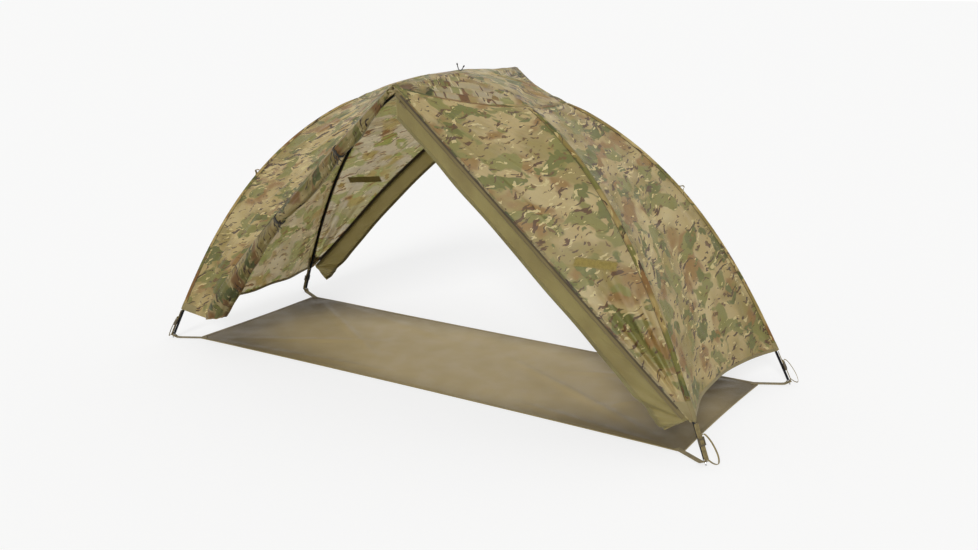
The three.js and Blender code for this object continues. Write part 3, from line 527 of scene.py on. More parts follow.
def grow(name, lines, tree, finish, sizes):
    """Runs a tree on the lines and keeps what it makes as a plain mesh."""
    starts = np.cumsum([0] + [len(line) for line in lines])
    edges = [(start + i, start + i + 1)
             for start, line in zip(starts, lines) for i in range(len(line) - 1)]
    mesh = bpy.data.meshes.new(name)
    mesh.from_pydata(np.concatenate(lines).tolist(), edges, [])
    piece = linked(name, mesh)
    modifier = piece.modifiers.new("grow", "NODES")
    modifier.node_group = tree
    names = {item.name: item.identifier for item in tree.interface.items_tree
             if item.item_type == "SOCKET" and item.in_out == "INPUT"}
    for label, value in {**sizes, "Finish": finish}.items():
        modifier[names[label]] = value
    return settled(piece, modifier)


# Finishes

def tone(red, green, blue):
    """A colour as seen on a screen, in 255ths, as the renderer wants it."""
    def linear(value):
        value /= 255
        return value / 12.92 if value <= 0.04045 else ((value + 0.055) / 1.055) ** 2.4
    return (linear(red), linear(green), linear(blue), 1.0)


class Finish:
    """A material in the making, one short call for each node."""

    # The length in metres after which the wave texture repeats at a scale of one
    WAVE = 0.314
    SOCKETS = {"sheen": "Sheen Weight", "specular": "Specular IOR Level", "through": "Subsurface Weight"}

    def __init__(self, name, roughness, metallic=0.0, glow=(1, 0.88, 0.60), **sockets):
        self.material = bpy.data.materials.new(name)
        self.material.use_nodes = True
        self.tree = self.material.node_tree
        self.shader = self.tree.nodes["Principled BSDF"]
        self.shader.inputs["Metallic"].default_value = metallic
        self.shader.inputs["Roughness"].default_value = roughness
        for label, value in sockets.items():
            self.shader.inputs[self.SOCKETS[label]].default_value = value
        self.shader.inputs["Subsurface Radius"].default_value = glow
        self.shader.inputs["Subsurface Scale"].default_value = GLOW_DEPTH
        self.normal = None

    def node(self, kind, inputs=(), **settings):
        return add_node(self.tree, kind, inputs, **settings)

    def cloth(self):
        return self.node("ShaderNodeUVMap", uv_map="cloth").outputs[0]

    def solid(self):
        return self.node("ShaderNodeTexCoord").outputs["Object"]

    def placed(self, coords, shift=(0, 0, 0), turn=0.0, stretch=(1, 1, 1)):
        return self.node("ShaderNodeMapping", {
            "Vector": coords, "Location": shift, "Rotation": (0, 0, turn), "Scale": stretch,
        }).outputs[0]

    def noise(self, coords, scale, detail=2.0, roughness=0.5, flat=True, color=False):
        node = self.node("ShaderNodeTexNoise", {
            "Vector": coords, "Scale": scale, "Detail": detail, "Roughness": roughness,
        }, noise_dimensions="2D" if flat else "3D")
        return node.outputs["Color" if color else "Fac"]

    def wave(self, coords, period, direction):
        return self.node("ShaderNodeTexWave", {"Vector": coords, "Scale": self.WAVE / period},
                         bands_direction=direction).outputs["Fac"]

    def between(self, value, low, high, start=0.0, end=1.0):
        return self.node("ShaderNodeMapRange", {
            "Value": value, "From Min": low, "From Max": high, "To Min": start, "To Max": end,
        }, interpolation_type="SMOOTHSTEP").outputs[0]

    def sums(self, operation, first, second):
        return self.node("ShaderNodeMath", {0: first, 1: second}, operation=operation).outputs[0]

    def mixed(self, share, first, second, blend="MIX"):
        return self.node("ShaderNodeMix", {0: share, 6: first, 7: second},
                         data_type="RGBA", blend_type=blend).outputs[2]

    def bump(self, height, distance, strength=1.0):
        inputs = {"Height": height, "Distance": distance, "Strength": strength}
        if self.normal is not None:
            inputs["Normal"] = self.normal
        self.normal = self.node("ShaderNodeBump", inputs).outputs[0]

    def weave(self, coords, period, distance, strength=0.5):
        threads = self.sums("ADD", self.wave(coords, period, "X"), self.wave(coords, period, "Y"))
        self.bump(threads, distance, strength)

    def made(self, color, roughness=None):
        if isinstance(color, tuple):
            self.shader.inputs["Base Color"].default_value = color
        else:
            self.tree.links.new(color, self.shader.inputs["Base Color"])
        if roughness is not None:
            self.tree.links.new(roughness, self.shader.inputs["Roughness"])
        if self.normal is not None:
            self.tree.links.new(self.normal, self.shader.inputs["Normal"])
        return self.material


def fly_finish(name="fly_cloth", through=0.95):
    """Light nylon in a soft woodland print: blended earth tones under small dark and cream dabs."""
    f = Finish(name, 0.5, glow=(1, 0.97, 0.88), specular=0.3, through=through)
    cloth = f.cloth()
    drift = f.node("ShaderNodeVectorMath", {0: f.noise(cloth, 11, 3, color=True), 1: (0.5, 0.5, 0.5)},
                   operation="SUBTRACT").outputs[0]
    drift = f.node("ShaderNodeVectorMath", {0: drift, "Scale": 0.055}, operation="SCALE").outputs[0]
    print_on = f.node("ShaderNodeVectorMath", {0: cloth, 1: drift}, operation="ADD").outputs[0]

    def patches(shift, scale, low, high, stretch=(1, 1.5, 1), turn=0.0, detail=2.0):
        place = f.placed(print_on, shift, turn, stretch)
        return f.between(f.noise(place, scale, detail), low, high)

    sand, khaki = tone(176, 160, 118), tone(140, 128, 78)
    color = f.mixed(patches((0, 0, 0), 4.6, 0.40, 0.60), sand, khaki)
    color = f.mixed(patches((3, 9, 0), 3.4, 0.52, 0.70, detail=1), color, tone(190, 176, 138))
    color = f.mixed(patches((17, 2, 0), 6.5, 0.52, 0.66), color, tone(132, 98, 58))
    color = f.mixed(patches((5, 21, 0), 8.5, 0.56, 0.61, (1, 1.3, 1), 0.5), color, tone(116, 118, 66))
    color = f.mixed(patches((11, 13, 0), 8.0, 0.60, 0.635, (1, 1.4, 1), -0.3, 3), color, tone(84, 92, 50))
    cluster = f.noise(f.placed(cloth, (31, 7, 0)), 5.5, 1)

    def dabs(shift, turn, scale, limit, stretch=3.0, spread=0.35):
        place = f.placed(print_on, shift, turn, (1, stretch, 1))
        value = f.sums("MULTIPLY_ADD", cluster, spread)
        value.node.inputs[2].default_value = -spread / 2
        value = f.sums("ADD", value, f.noise(place, scale, 2.2, 0.55))
        return f.between(value, limit, limit + 0.014)

    color = f.mixed(dabs((2, 5, 0), 0.9, 21, 0.675, 3.0), color, tone(204, 192, 152))
    color = f.mixed(dabs((8, 1, 0), 0.55, 15, 0.652, 4.4), color, tone(64, 46, 32))
    color = f.mixed(dabs((23, 4, 0), 0.2, 26, 0.69, 2.2, -0.3), color, tone(90, 64, 42))
    fine = f.noise(cloth, 900, 1)
    color = f.mixed(f.between(fine, 0.3, 0.7, 0.0, 0.10), color, tone(60, 52, 38))
    color = f.mixed(1.0, color, FLY_DYE, "MULTIPLY")
    f.bump(f.noise(cloth, 26, 3), 0.004, 0.5)
    f.bump(f.noise(f.placed(cloth, (4, 4, 0), 0.4, (1, 3, 1)), 55, 2), 0.0014, 0.4)
    f.weave(cloth, 0.0011, 0.0002, 0.35)
    return f.made(color, f.between(f.noise(cloth, 18, 2), 0.3, 0.7, 0.40, 0.56))


def plain_cloth_finish(name, base, shade, roughness, crinkle=0.003, weave=0.0011, through=0.55,
                       rim=None, specular=0.35):
    """One colour of woven cloth, a little uneven, with soft creases and, if given, painted shade that
    darkens it towards its edges.
    """
    f = Finish(name, roughness, sheen=0.05, specular=specular, through=through)
    cloth = f.cloth()
    color = f.mixed(f.between(f.noise(cloth, 5, 3), 0.3, 0.75), base, shade)
    color = f.mixed(f.between(f.noise(cloth, 700, 1), 0.3, 0.7, 0.0, 0.14), color, tone(50, 44, 34))
    # Painted shade: the colour turns darker away from the piece's middle, towards its edges.
    if rim is not None:
        place = f.placed(f.solid(), stretch=(1 / 1.1, 1 / 0.40, 0))
        far = f.node("ShaderNodeVectorMath", {0: place}, operation="LENGTH").outputs["Value"]
        far = f.sums("ADD", far, f.sums("MULTIPLY", f.noise(cloth, 3, 2), 0.15))
        color = f.mixed(f.between(far, 0.62, 1.25, 0.0, 0.8), color, rim)
    f.bump(f.noise(cloth, 14, 3), crinkle, 0.5)
    f.bump(f.noise(f.placed(cloth, (4, 4, 0), 0.6, (1, 4, 1)), 40, 2), crinkle / 3, 0.5)
    f.weave(cloth, weave, 0.0002, 0.4)
    return f.made(color, f.between(f.noise(cloth, 12, 2), 0.3, 0.7, roughness - 0.07, roughness + 0.07))


def webbing_finish(name, base, shade):
    """Woven strap: ribs across it and a worn, uneven colour."""
    f = Finish(name, 0.82, sheen=0.15, specular=0.25)
    cloth = f.cloth()
    color = f.mixed(f.between(f.noise(cloth, 60, 3), 0.35, 0.7), base, shade)
    ribs = f.wave(cloth, 0.0016, "Y")
    color = f.mixed(f.sums("MULTIPLY", ribs, 0.22), color, tone(52, 44, 28))
    f.bump(ribs, 0.0004, 0.6)
    f.bump(f.wave(cloth, 0.0024, "X"), 0.0002, 0.5)
    return f.made(color)


def pile_finish():
    """Olive tape with a short pile."""
    f = Finish("olive_tape", 0.92, sheen=0.25, specular=0.2)
    cloth = f.cloth()
    pile = f.noise(cloth, 1400, 2, 0.7)
    color = f.mixed(f.between(pile, 0.25, 0.75), tone(104, 91, 44), tone(150, 133, 72))
    color = f.mixed(f.between(f.noise(cloth, 90, 2), 0.4, 0.7, 0, 0.3), color, tone(88, 77, 38))
    f.bump(pile, 0.0006, 0.8)
    return f.made(color)


def rigid_finish(name, base, worn, roughness, metallic, scale=60, grain=0.0002, wear=0.62):
    """Metal or moulded plastic with fine grain and a little wear."""
    f = Finish(name, roughness, metallic, specular=0.5)
    place = f.solid()
    rub = f.noise(place, scale, 4, 0.6, flat=False)
    color = f.mixed(f.between(rub, wear, wear + 0.15), base, worn)
    f.bump(f.noise(place, scale * 12, 2, flat=False), grain, 0.5)
    return f.made(color, f.between(f.noise(place, scale * 2, 3, flat=False), 0.3, 0.7,
                                   roughness - 0.08, roughness + 0.1))


FLY, FLY_DOUBLED = fly_finish(), fly_finish("fly_cloth_doubled", 0.25)
TAN = plain_cloth_finish("flap_cloth", tone(125, 114, 66), tone(108, 96, 53), 0.55)
# The groundsheet's rim colour is painted shade, darkening the sheet towards its edges.
SATIN = plain_cloth_finish("groundsheet_cloth", tone(188, 168, 122), tone(182, 162, 115), 0.5, 0.0012,
                           through=0.0, rim=tone(64, 53, 31), specular=0.2)
WEBBING = webbing_finish("webbing", tone(138, 122, 78), tone(112, 98, 58))
BINDING = plain_cloth_finish("hem_binding", tone(140, 126, 82), tone(122, 108, 68), 0.6, 0.001, through=0.3)
# Dark brown cloth: the door tapes, and painted shadow lines beside the zip edge, the rolled door's edge and
# the pole seams.
DARK_TAPE_AND_SHADOW = plain_cloth_finish("door_tape_and_shadow", tone(70, 58, 34), tone(56, 46, 28), 0.7, 0.0005, through=0.2)
OLIVE = pile_finish()
POLE = rigid_finish("pole", tone(24, 24, 27), tone(58, 58, 62), 0.36, 0.7)
STEEL = rigid_finish("steel", tone(186, 186, 188), tone(120, 118, 114), 0.34, 0.95)
PLASTIC = rigid_finish("plastic", tone(74, 64, 44), tone(112, 99, 70), 0.42, 0.0, 90)
ZIP_CLOTH = plain_cloth_finish("zip_tape", tone(112, 99, 62), tone(98, 86, 52), 0.75, 0.0005, 0.0016,
                               through=0.0)
ZIP = rigid_finish("zip", tone(96, 84, 54), tone(122, 108, 74), 0.5, 0.1, 120)
CORD = rigid_finish("cord", tone(46, 44, 38), tone(80, 76, 62), 0.85, 0.0, 400, 0.0005)
THREAD = rigid_finish("thread", tone(128, 115, 80), tone(150, 138, 104), 0.8, 0.0, 300)

CORDS, STITCHES = cord_tree(), stitch_tree()


# Poles

def frames_along(path, distance):
    origin, along = path.at(distance), path.way(distance)
    side = unit(np.stack([-along[..., 1], along[..., 0], np.zeros(len(along))], -1))
    return origin, side, np.cross(along, side)


def round_body(name, path, profile, sides, finish):
    """A round closed shape along a path: its profile gives radius and distance."""
    profile = np.array(profile)
    origin, side, over = frames_along(path, profile[:, 1])
    angle = np.linspace(0, 2 * math.pi, sides, endpoint=False)
    ring = over[:, None] * np.cos(angle)[:, None] + side[:, None] * np.sin(angle)[:, None]
    points = origin[:, None] + ring * profile[:, 0][:, None, None]
    closed = profile[0, 0] > 0
    rows = len(profile)
    faces = grid_faces(rows, sides, ring=True)[:, ::-1]
    if closed:
        last = grid_faces(2, sides, ring=True)[:, ::-1]
        last = np.where(last < sides, last + (rows - 1) * sides, last - sides)
        faces = np.concatenate([faces, last])
    points = points.reshape(-1, 3)
    if not closed:
        points, faces = close_ends(points, faces, sides, rows)
    return add_mesh(name, points, faces, finish, crease=35)


def close_ends(points, faces, sides, rows):
    """Turns the first and last ring, whose radius is nothing, into one point each."""
    number = np.arange(len(points))
    number[:sides] = 0
    number[-sides:] = (rows - 1) * sides
    kept = np.unique(number)
    place = np.searchsorted(kept, number)
    made = []
    for face in place[faces]:
        face = list(dict.fromkeys(face.tolist()))
        if len(face) > 2:
            made.append(face)
    return points[kept], made


def spaced(first, last, step):
    return np.linspace(first, last, max(2, int(round((last - first) / step)) + 1))


def tube_profile(start, end, ferrule, length, step=0.02, rim=0.0004):
    wall = [(POLE_RADIUS, at) for at in spaced(start + rim, end - rim, step)]
    outside = [(POLE_RADIUS - rim, start), *wall, (POLE_RADIUS - rim, end)]
    if not ferrule:
        inside = [(BORE_RADIUS, at) for at in spaced(start, end, step)[::-1]]
        return outside + inside
    radius = BORE_RADIUS - FERRULE_CLEARANCE
    bore = SHOCK_CORD_RADIUS + FERRULE_CLEARANCE
    tip, root = end + length, end - length
    spigot = [(radius, end), *((radius, at) for at in spaced(end + rim, tip - rim, step)),
              (radius - rim, tip), (bore, tip)]
    spigot += [(bore, at) for at in spaced(root, tip - rim, step)[::-1]]
    inside = [(BORE_RADIUS, at) for at in spaced(start, root, step)[::-1]]
    return outside + spigot + inside


def arch_pole(name, path):
    tip = PIN_LENGTH + COLLAR_LENGTH
    start_at = tip + CONTACT_GAP
    section = (path.length - 2 * start_at) / SECTIONS
    names = []
    for i in range(SECTIONS):
        last = i == SECTIONS - 1
        start = start_at + i * section + (CONTACT_GAP / 2 if i else 0)
        end = start_at + (i + 1) * section - (0 if last else CONTACT_GAP / 2)
        tube = round_body(f"{name}_tube_{i + 1}", path,
                          tube_profile(start, end, not last, section / SECTION_STEPS), 20, POLE)
        carry(tube, stands_for=[f"{name}_section_{i + 1}"])
        names.append(tube.name)
    begin = tip + SPIGOT_LENGTH + CONTACT_GAP
    stations = spaced(begin, path.length - begin, 0.04)
    profile = [(0, begin), *((SHOCK_CORD_RADIUS, at) for at in stations), (0, path.length - begin)]
    elastic = round_body(f"{name}_elastic", path, profile, 10, CORD)
    carry(elastic, stands_for=[f"{name}_shock_cord"])
    return names


def pole_tip(corner):
    path = ARCHES[corner]
    lean = path.way(np.array([0.0]))[0, 2]
    ball = PIN_RADIUS / lean
    spigot = BORE_RADIUS - FERRULE_CLEARANCE
    tip = PIN_LENGTH + COLLAR_LENGTH
    rim = 0.0005
    nose = [(PIN_RADIUS * math.sin(a), ball - PIN_RADIUS * math.cos(a))
            for a in np.linspace(0, math.pi / 2, 6)]
    nose[0] = (0, nose[0][1])
    groove = PIN_RADIUS * 0.86
    neck = [(PIN_RADIUS, PIN_LENGTH - 0.006), (groove, PIN_LENGTH - 0.005), (groove, PIN_LENGTH - 0.003),
            (PIN_RADIUS, PIN_LENGTH - 0.002), (PIN_RADIUS, PIN_LENGTH)]
    profile = [*nose, *neck, (COLLAR_RADIUS - rim, PIN_LENGTH), (COLLAR_RADIUS, PIN_LENGTH + rim),
               (COLLAR_RADIUS, tip - rim), (COLLAR_RADIUS - rim, tip), (spigot, tip),
               (spigot, tip + SPIGOT_LENGTH - rim), (spigot - rim, tip + SPIGOT_LENGTH),
               (0, tip + SPIGOT_LENGTH)]
    pin = round_body(f"pin_{corner}", path, profile, 20, STEEL)
    carry(pin, stands_for=[f"pole_tip_{corner}"])


def brow_pole():
    path = bezier(np.array([0, -BROW_HALF, BROW_TOP - BROW_DROP]), np.array([0, 0, BROW_TOP + BROW_DROP]),
                  np.array([0, BROW_HALF, BROW_TOP - BROW_DROP]))
    middle = path.length / 2
    halves = (("front", 0, middle - CONTACT_GAP / 2), ("back", middle + CONTACT_GAP / 2, path.length))
    for side, start, end in halves:
        tube = round_body(f"brow_tube_{side}", path,
                          tube_profile(start, end, side == "front", middle / BROW_STEPS), 20, POLE)
        carry(tube, stands_for=[f"brow_pole_{side}_section"])


# Fly panels

# Each fold's start and end as shares down and across the panel, its height and its half width
PANEL_FOLDS = {
    "front_right": [
        ((0.0, 0.06), (0.34, 0.62), 0.0045, 0.0060), ((0.0, 0.14), (0.24, 0.86), 0.004, 0.0055),
        ((0.01, 0.05), (0.5, 0.38), 0.004, 0.0065), ((0.02, 0.3), (0.16, 0.95), 0.003, 0.005),
        ((0.0, 0.10), (0.29, 0.74), -0.003, 0.0050), ((0.0, 0.22), (0.2, 0.92), -0.0028, 0.0050),
        ((0.52, 0.62), (1.0, 0.52), 0.014, 0.018), ((0.60, 0.34), (1.0, 0.42), -0.012, 0.015),
        ((0.62, 0.84), (1.0, 0.70), -0.010, 0.013), ((0.68, 0.16), (1.0, 0.30), 0.011, 0.012),
        ((0.70, 0.5), (1.0, 0.5), -0.010, 0.009), ((0.3, 0.2), (0.8, 0.28), 0.004, 0.03),
        ((0.64, 0.72), (1.0, 0.60), 0.009, 0.008), ((0.76, 0.26), (1.0, 0.36), 0.007, 0.007),
        ((0.34, 0.75), (0.7, 0.62), -0.003, 0.03),
    ],
    "front_left": [
        ((0.0, 0.1), (0.4, 0.55), 0.004, 0.010), ((0.05, 0.5), (0.35, 0.85), 0.003, 0.010),
        ((0.45, 0.3), (1.0, 0.45), 0.007, 0.02), ((0.55, 0.7), (1.0, 0.62), -0.006, 0.018),
        ((0.62, 0.12), (0.98, 0.2), 0.006, 0.014), ((0.25, 0.1), (0.6, 0.5), 0.004, 0.016),
    ],
    "end": [
        ((0.1, 0.2), (0.98, 0.14), 0.005, 0.03), ((0.2, 0.45), (0.98, 0.4), -0.005, 0.035),
        ((0.15, 0.7), (0.98, 0.74), 0.005, 0.03), ((0.5, 0.9), (1.0, 0.93), -0.005, 0.02),
        ((0.5, 0.08), (1.0, 0.06), 0.005, 0.02), ((0.4, 0.56), (0.9, 0.62), 0.004, 0.02),
    ],
}


def side_surface(side, edge, down, across):
    edge_points = edge.at(down * edge.length)
    pole_points = seat_on(side, down)
    point = mix(edge_points, pole_points, across[..., None])
    inward = unit(np.array([-ZIP_SLOPE if side == "front_right" else ZIP_SLOPE, 1, -1]))
    width = np.linalg.norm(edge_points - pole_points, axis=-1)
    folds = SIDE_FOLD * np.sin(2 * math.pi * across) * bow(down)
    point = point + inward * (width * (SIDE_SAG + folds) * bow(across) * down)[..., None]
    point[..., 2] -= CAP_SIDE_SAG * bow(across) * (1 - down) ** 2
    return point


def draped(points, down, across, folds, seed, height, wave, outside):
    """Lays folds and slack on a panel, none of them at its edges."""
    normal = grid_normals(points)
    if float(np.sum(normal * outside)) < 0:
        normal = -normal
    uv = cloth_uv(points)
    width = np.linalg.norm(np.diff(points, axis=1), axis=2).sum(1)[:, None]
    lift = ripple(uv[..., 0], uv[..., 1], seed, height, wave)
    for line in folds:
        lift = lift + fold(down, across, width, line)
    still = np.clip(np.minimum(across, 1 - across) * width / 0.045, 0, 1) ** 1.3
    still = still * np.clip(down * 14, 0, 1) * np.clip((1 - down) * 18, 0, 1) ** 0.5
    return points + normal * (lift * still)[..., None]


def side_panel(corner, door):
    """The front panels are drawn; a back one is its front twin after half a turn."""
    front = {"back_left": "front_right", "back_right": "front_left"}.get(corner, corner)
    edge = zip_edge(door) if front == "front_right" else ROLL_EDGE
    down, across = grid(np.linspace(0.0003, 0.9997, SIDE_GRID[0]), np.linspace(0, 1, SIDE_GRID[1]))
    width = mix(0.46, CORNER_STRAP_WIDTH, down)
    across = mix(SEAM_GAP / width, 1 - SEAM_GAP / width, across)
    points = side_surface(front, edge, down, across)
    seed = list(CORNERS).index(corner)
    points = draped(points, down, across, PANEL_FOLDS[front], 40 + seed, 0.0032, 0.30, FRONTWARD)
    outside = FRONTWARD
    if corner.startswith("back"):
        points, outside = half_turn(points), -outside
    turn = {"front_right": 0.55, "front_left": -0.5, "back_left": 2.2, "back_right": 1.1}[corner]
    return Cloth(f"fly_side_{corner}", points, FLY, outside, turn, (1.7 * seed, 0.9 * seed))


def end_panel(side):
    at_cap, at_corner = edge_lengths("front_left")
    down, across = grid(np.linspace(0.0003, 0.9997, END_GRID[0]), np.linspace(0.0006, 0.9994, END_GRID[1]))
    level = down * (1 - END_CUT / (at_cap - at_corner) * bow(across))
    front, back = seat_on("front_left", level), seat_on("back_left", level)
    _, _, over = frames_along(ARCHES["front_left"], mix(at_cap, at_corner, level).ravel())
    over = over.reshape(*level.shape, 3) * np.array([1.0, 0, 1])
    inward = -mix(unit(over), UP, (1 - level)[..., None])
    folds = END_FOLD * np.sin(2 * math.pi * END_FOLDS * across) * bow(across) * level
    sag = mix(CAP_END_SAG, END_SAG, level) * bow(across) + folds
    points = mix(front, back, across[..., None]) + inward * sag[..., None]
    outside = np.array([-1.0, 0, 0.4])
    seed, turn, shift = {"left": (61, 0.2, (7.3, 2.1)), "right": (67, 2.9, (9.9, 4.4))}[side]
    points = draped(points, down, across, PANEL_FOLDS["end"], seed, 0.0035, 0.34, outside)
    if side == "right":
        points, outside = half_turn(points), half_turn(outside)
    return Cloth(f"fly_end_{side}", points, FLY, outside, turn, shift)


# The panel below each sixth of the cap, and the shares across it where that sixth starts and ends
CAP_SECTORS = [("front_right", 0, 1), ("right", 1, 0), ("back_right", 1, 0),
               ("back_left", 0, 1), ("left", 1, 0), ("front_left", 1, 0)]
# Wrinkles of each sixth: how far in from the seam they reach, and their height
CAP_WRINKLES = {
    0: [(0.08, 0.010), (0.21, 0.013), (0.37, 0.013), (0.55, 0.011), (0.74, 0.008)],
    1: [(0.12, 0.004), (0.32, 0.004)],
    2: [(0.09, 0.009), (0.24, 0.010), (0.42, 0.009), (0.62, 0.007)],
    3: [(0.08, 0.010), (0.22, 0.011), (0.40, 0.011), (0.60, 0.008)],
    4: [(0.12, 0.004), (0.32, 0.004)],
    5: [(0.09, 0.009), (0.24, 0.010), (0.42, 0.009), (0.62, 0.007)],
}


def cap_ribs():
    peak_height = PEAK[2]
    poles = {name: seat_on(name, 0.0) for name in CORNERS}
    order = [PEAK, poles["front_right"], poles["back_right"], half_turn(PEAK), poles["back_left"],
             poles["front_left"]]
    names = [None, "front_right", "back_right", None, "back_left", "front_left"]

    def height(k, reach):
        if names[k] is None:
            return CAP_TOP - (CAP_TOP - peak_height) * reach * reach
        a, b, c = ARCH_SHARES
        top = CROSSING_HEIGHT - (POLE_STACK if names[k] in ("front_left", "back_right") else 0)

        def pole(share):
            square = (CAP_REACH * share / math.hypot(FOOT_X, FOOT_Y)) ** 2
            return top * (1 - square) * (1 + square * (a + square * (b + square * c)))

        return pole(reach) + mix(CAP_TOP - pole(0), order[k][2] - pole(1), reach)

    return order, height


CAP_ORDER, RIB_HEIGHT = cap_ribs()


def cap_surface(turn, reach):
    """Points of the cap's inner face: turn counts sectors round the tent, reach from its middle."""
    points = np.empty((*reach.shape, 3))
    for k in range(6):
        here = (turn >= k) & (turn < k + 1)
        share, r = turn[here] - k, reach[here]
        first, second = CAP_ORDER[k], CAP_ORDER[(k + 1) % 6]
        sag = (CAP_END_SAG if k % 3 == 1 else CAP_SIDE_SAG) * bow(share) * r * r
        place = mix(first, second, share[:, None]) * r[:, None]
        place[:, 2] = mix(RIB_HEIGHT(k, r), RIB_HEIGHT((k + 1) % 6, r), share) - sag
        for deep, lift in CAP_WRINKLES[k]:
            off = (r - 1 + deep * bow(share) ** 0.8) / (0.022 + 0.035 * deep)
            ridge = np.exp(-off * off) - 0.7 * np.exp(-((off - 1.7) / 1.1) ** 2)
            place[:, 2] += lift * np.sqrt(bow(share)) * ridge * (1 - ease(r, 0.985, 1.0))
        points[here] = place
    return points


def top_cap():
    turns = np.arange(6 * CAP_STEPS) / CAP_STEPS
    rings = np.linspace(0, 1, CAP_RINGS + 1)[1:]
    reach, turn = grid(rings * (1 - SEAM_GAP / CAP_REACH), turns)
    under = cap_surface(turn, reach)
    slack = ripple(under[..., 0], under[..., 1], 71, 0.002, 0.16)
    under[..., 2] += slack * np.clip((1 - reach) * 8, 0, 1) * np.clip(reach * 4, 0, 1)
    upper = under + UP * CLOTH
    rows, cols = reach.shape
    count = rows * cols
    middle = np.array([0, 0, CAP_TOP])
    points = np.concatenate([upper.reshape(-1, 3), under.reshape(-1, 3), [middle + UP * CLOTH, middle]])
    top, bottom = grid_faces(rows, cols, 0, True)[:, ::-1], grid_faces(rows, cols, count, True)
    last = np.arange((rows - 1) * cols, rows * cols)
    after = np.roll(last, -1)
    rim = np.stack([last, last + count, after + count, after], -1)
    fan = [(2 * count, j, (j + 1) % cols) for j in range(cols)]
    fan += [(2 * count + 1, count + (j + 1) % cols, count + j) for j in range(cols)]
    faces = [*top.tolist(), *bottom.tolist(), *rim.tolist(), *fan]
    piece = add_mesh("fly_cap", points, faces, FLY, points[:, :2] + (13.0, 5.0))
    area = float(sum(f.area for f in piece.data.polygons) / 2)
    return piece, area, upper


def on_side(panels, corner, down, distance, lift=0.0, inside=False):
    """A line beside a pole's seam on the side panel, the distance measured from the seam."""
    panel = panels[corner]
    return panel.line(down, 1 - distance / panel.width_at(down), lift, inside)


def on_end(panels, corner, down, distance, lift=0.0, inside=False):
    side = corner.split("_")[1]
    share = distance / panels[side].width_at(down)
    first = corner in ("front_left", "back_right")
    return panels[side].line(down, share if first else 1 - share, lift, inside)


# Distance from the seam and height above the panel, from the band's edge to its ridge
SEAM_RISE = ((0.0095, 0.0006), (0.0078, 0.0022), (0.0045, 0.0036), (0.0018, 0.0048), (0.0004, 0.0052))


def pole_seams(panels):
    """A raised band of cloth along each pole, where the side and end panels are sewn together, with a
    painted shadow line beside it on both panels.
    """
    stitches = []
    down = np.linspace(0.010, 0.985, 240)
    rise = mix(0.2, 1.0, ease(down, 0.0, 0.07))
    for k, (corner, (x, y)) in enumerate(CORNERS.items()):
        lines = [on_side(panels, corner, down, d, lift * rise) for d, lift in SEAM_RISE]
        lines += [on_end(panels, corner, down, d, lift * rise) for d, lift in SEAM_RISE[::-1]]
        band(f"pole_seam_{corner}", lines, 0.0008, FLY_DOUBLED, np.array([x, y, 1.0]), turn=0.1,
             shift=(20 + k, 3.0))
        stitches += [place(panels, corner, down, 0.0082, 0.0026) for place in (on_side, on_end)]
        # A thin dark line beside each band, on both panels, is a painted shadow.
        shadow_lines = [place(panels, corner, down, 0.0106, 0.0004) for place in (on_side, on_end)]
        line = grow(f"seam_shadow_line_{corner}", shadow_lines, CORDS, DARK_TAPE_AND_SHADOW, {"Radius": 0.0008, "Sides": 6})
        carry(line)
    return stitches


def end_hems(panels):
    """The bound lower edge of both end panels."""
    pieces, stitches = {}, []
    across = np.linspace(0.004, 0.996, 120)
    rows = [(d, 0.0003, False) for d in (0.011, 0.008, 0.004, 0.001)]
    rows += [(0.0, -0.0004, False), (0.0, 0.0006, True)]
    rows += [(d, 0.0012, True) for d in (0.001, 0.004, 0.008, 0.011)]
    for side in ("left", "right"):
        panel = panels[side]
        outside = np.array([-1.0 if side == "left" else 1.0, 0, 0.4])
        lines = [panel.line(1 - d / panel.length, across, lift, inside) for d, lift, inside in rows]
        pieces[side] = band(f"end_hem_{side}", lines, 0.0008, BINDING, outside)
        stitches.append(panel.line(1 - 0.009 / panel.length, across, 0.0014))
    return pieces, stitches


# Doors

def on_edge(door, distance, inward=0.0, outward=0.0):
    """Points beside a zip edge, drawn for the front door and turned for the back one."""
    inward, outward = np.asarray(inward, float)[..., None], np.asarray(outward, float)[..., None]
    return for_door(door, zip_edge(door).at(distance) + ZIP_INWARD * inward + FRONTWARD * outward)


def facing(door):
    return FRONTWARD if door == "front" else -FRONTWARD


EDGE_LENGTH = STRAIGHT_EDGE.length


def storm_flap(door):
    u, v = grid(*(np.linspace(0, 1, count) for count in FLAP_GRID))
    width = mix(FLAP_TOP, FLAP_FOOT, u * u)
    inset = FLAP_INSET + width * v
    start = FLAP_START + inset * ZIP_SLOPE
    finish = EDGE_LENGTH - FLAP_FINISH - FLAP_RISE * v
    distance = mix(start, finish, u)
    fan = np.arctan2(inset, EDGE_LENGTH - distance)
    low = ease(u, 0.55, 0.95)
    back = CONTACT_GAP + FLAP_SET_BACK * ease(v, 0, ZIP_TAPE / FLAP_TOP)
    back = back + 0.002 * np.sin(6 * math.pi * u) * v * v + ripple(distance, inset, 83, 0.002, 0.22) * v * v
    back = back + low * v * (0.007 * np.sin(11 * fan + 0.6) + 0.004 * np.sin(23 * fan))
    back = np.maximum(back, CONTACT_GAP)
    points = on_edge(door, distance, inset, -back)
    shift = (4.0, 1.0 if door == "front" else 3.0)
    flap = Cloth(f"flap_{door}", points, TAN, -facing(door), 0.0, shift, FLAP_THICK)
    carry(flap.piece, stands_for=[f"storm_flap_{door}"])
    rows = np.linspace(0.004, 0.996, 260)
    hem_rise = ((0.86, 0.0002), (0.90, 0.0004), (0.95, 0.0004), (0.995, 0.0003))
    hem = band(f"flap_hem_{door}", [flap.line(rows, across, lift, True) for across, lift in hem_rise],
               0.0006, TAN, facing(door), 0.0, (9.0, 2.0))
    stitches = [flap.line(rows, 0.875, 0.0010, True), flap.line(rows, 0.09, 0.0002, True)]
    return flap, hem, stitches


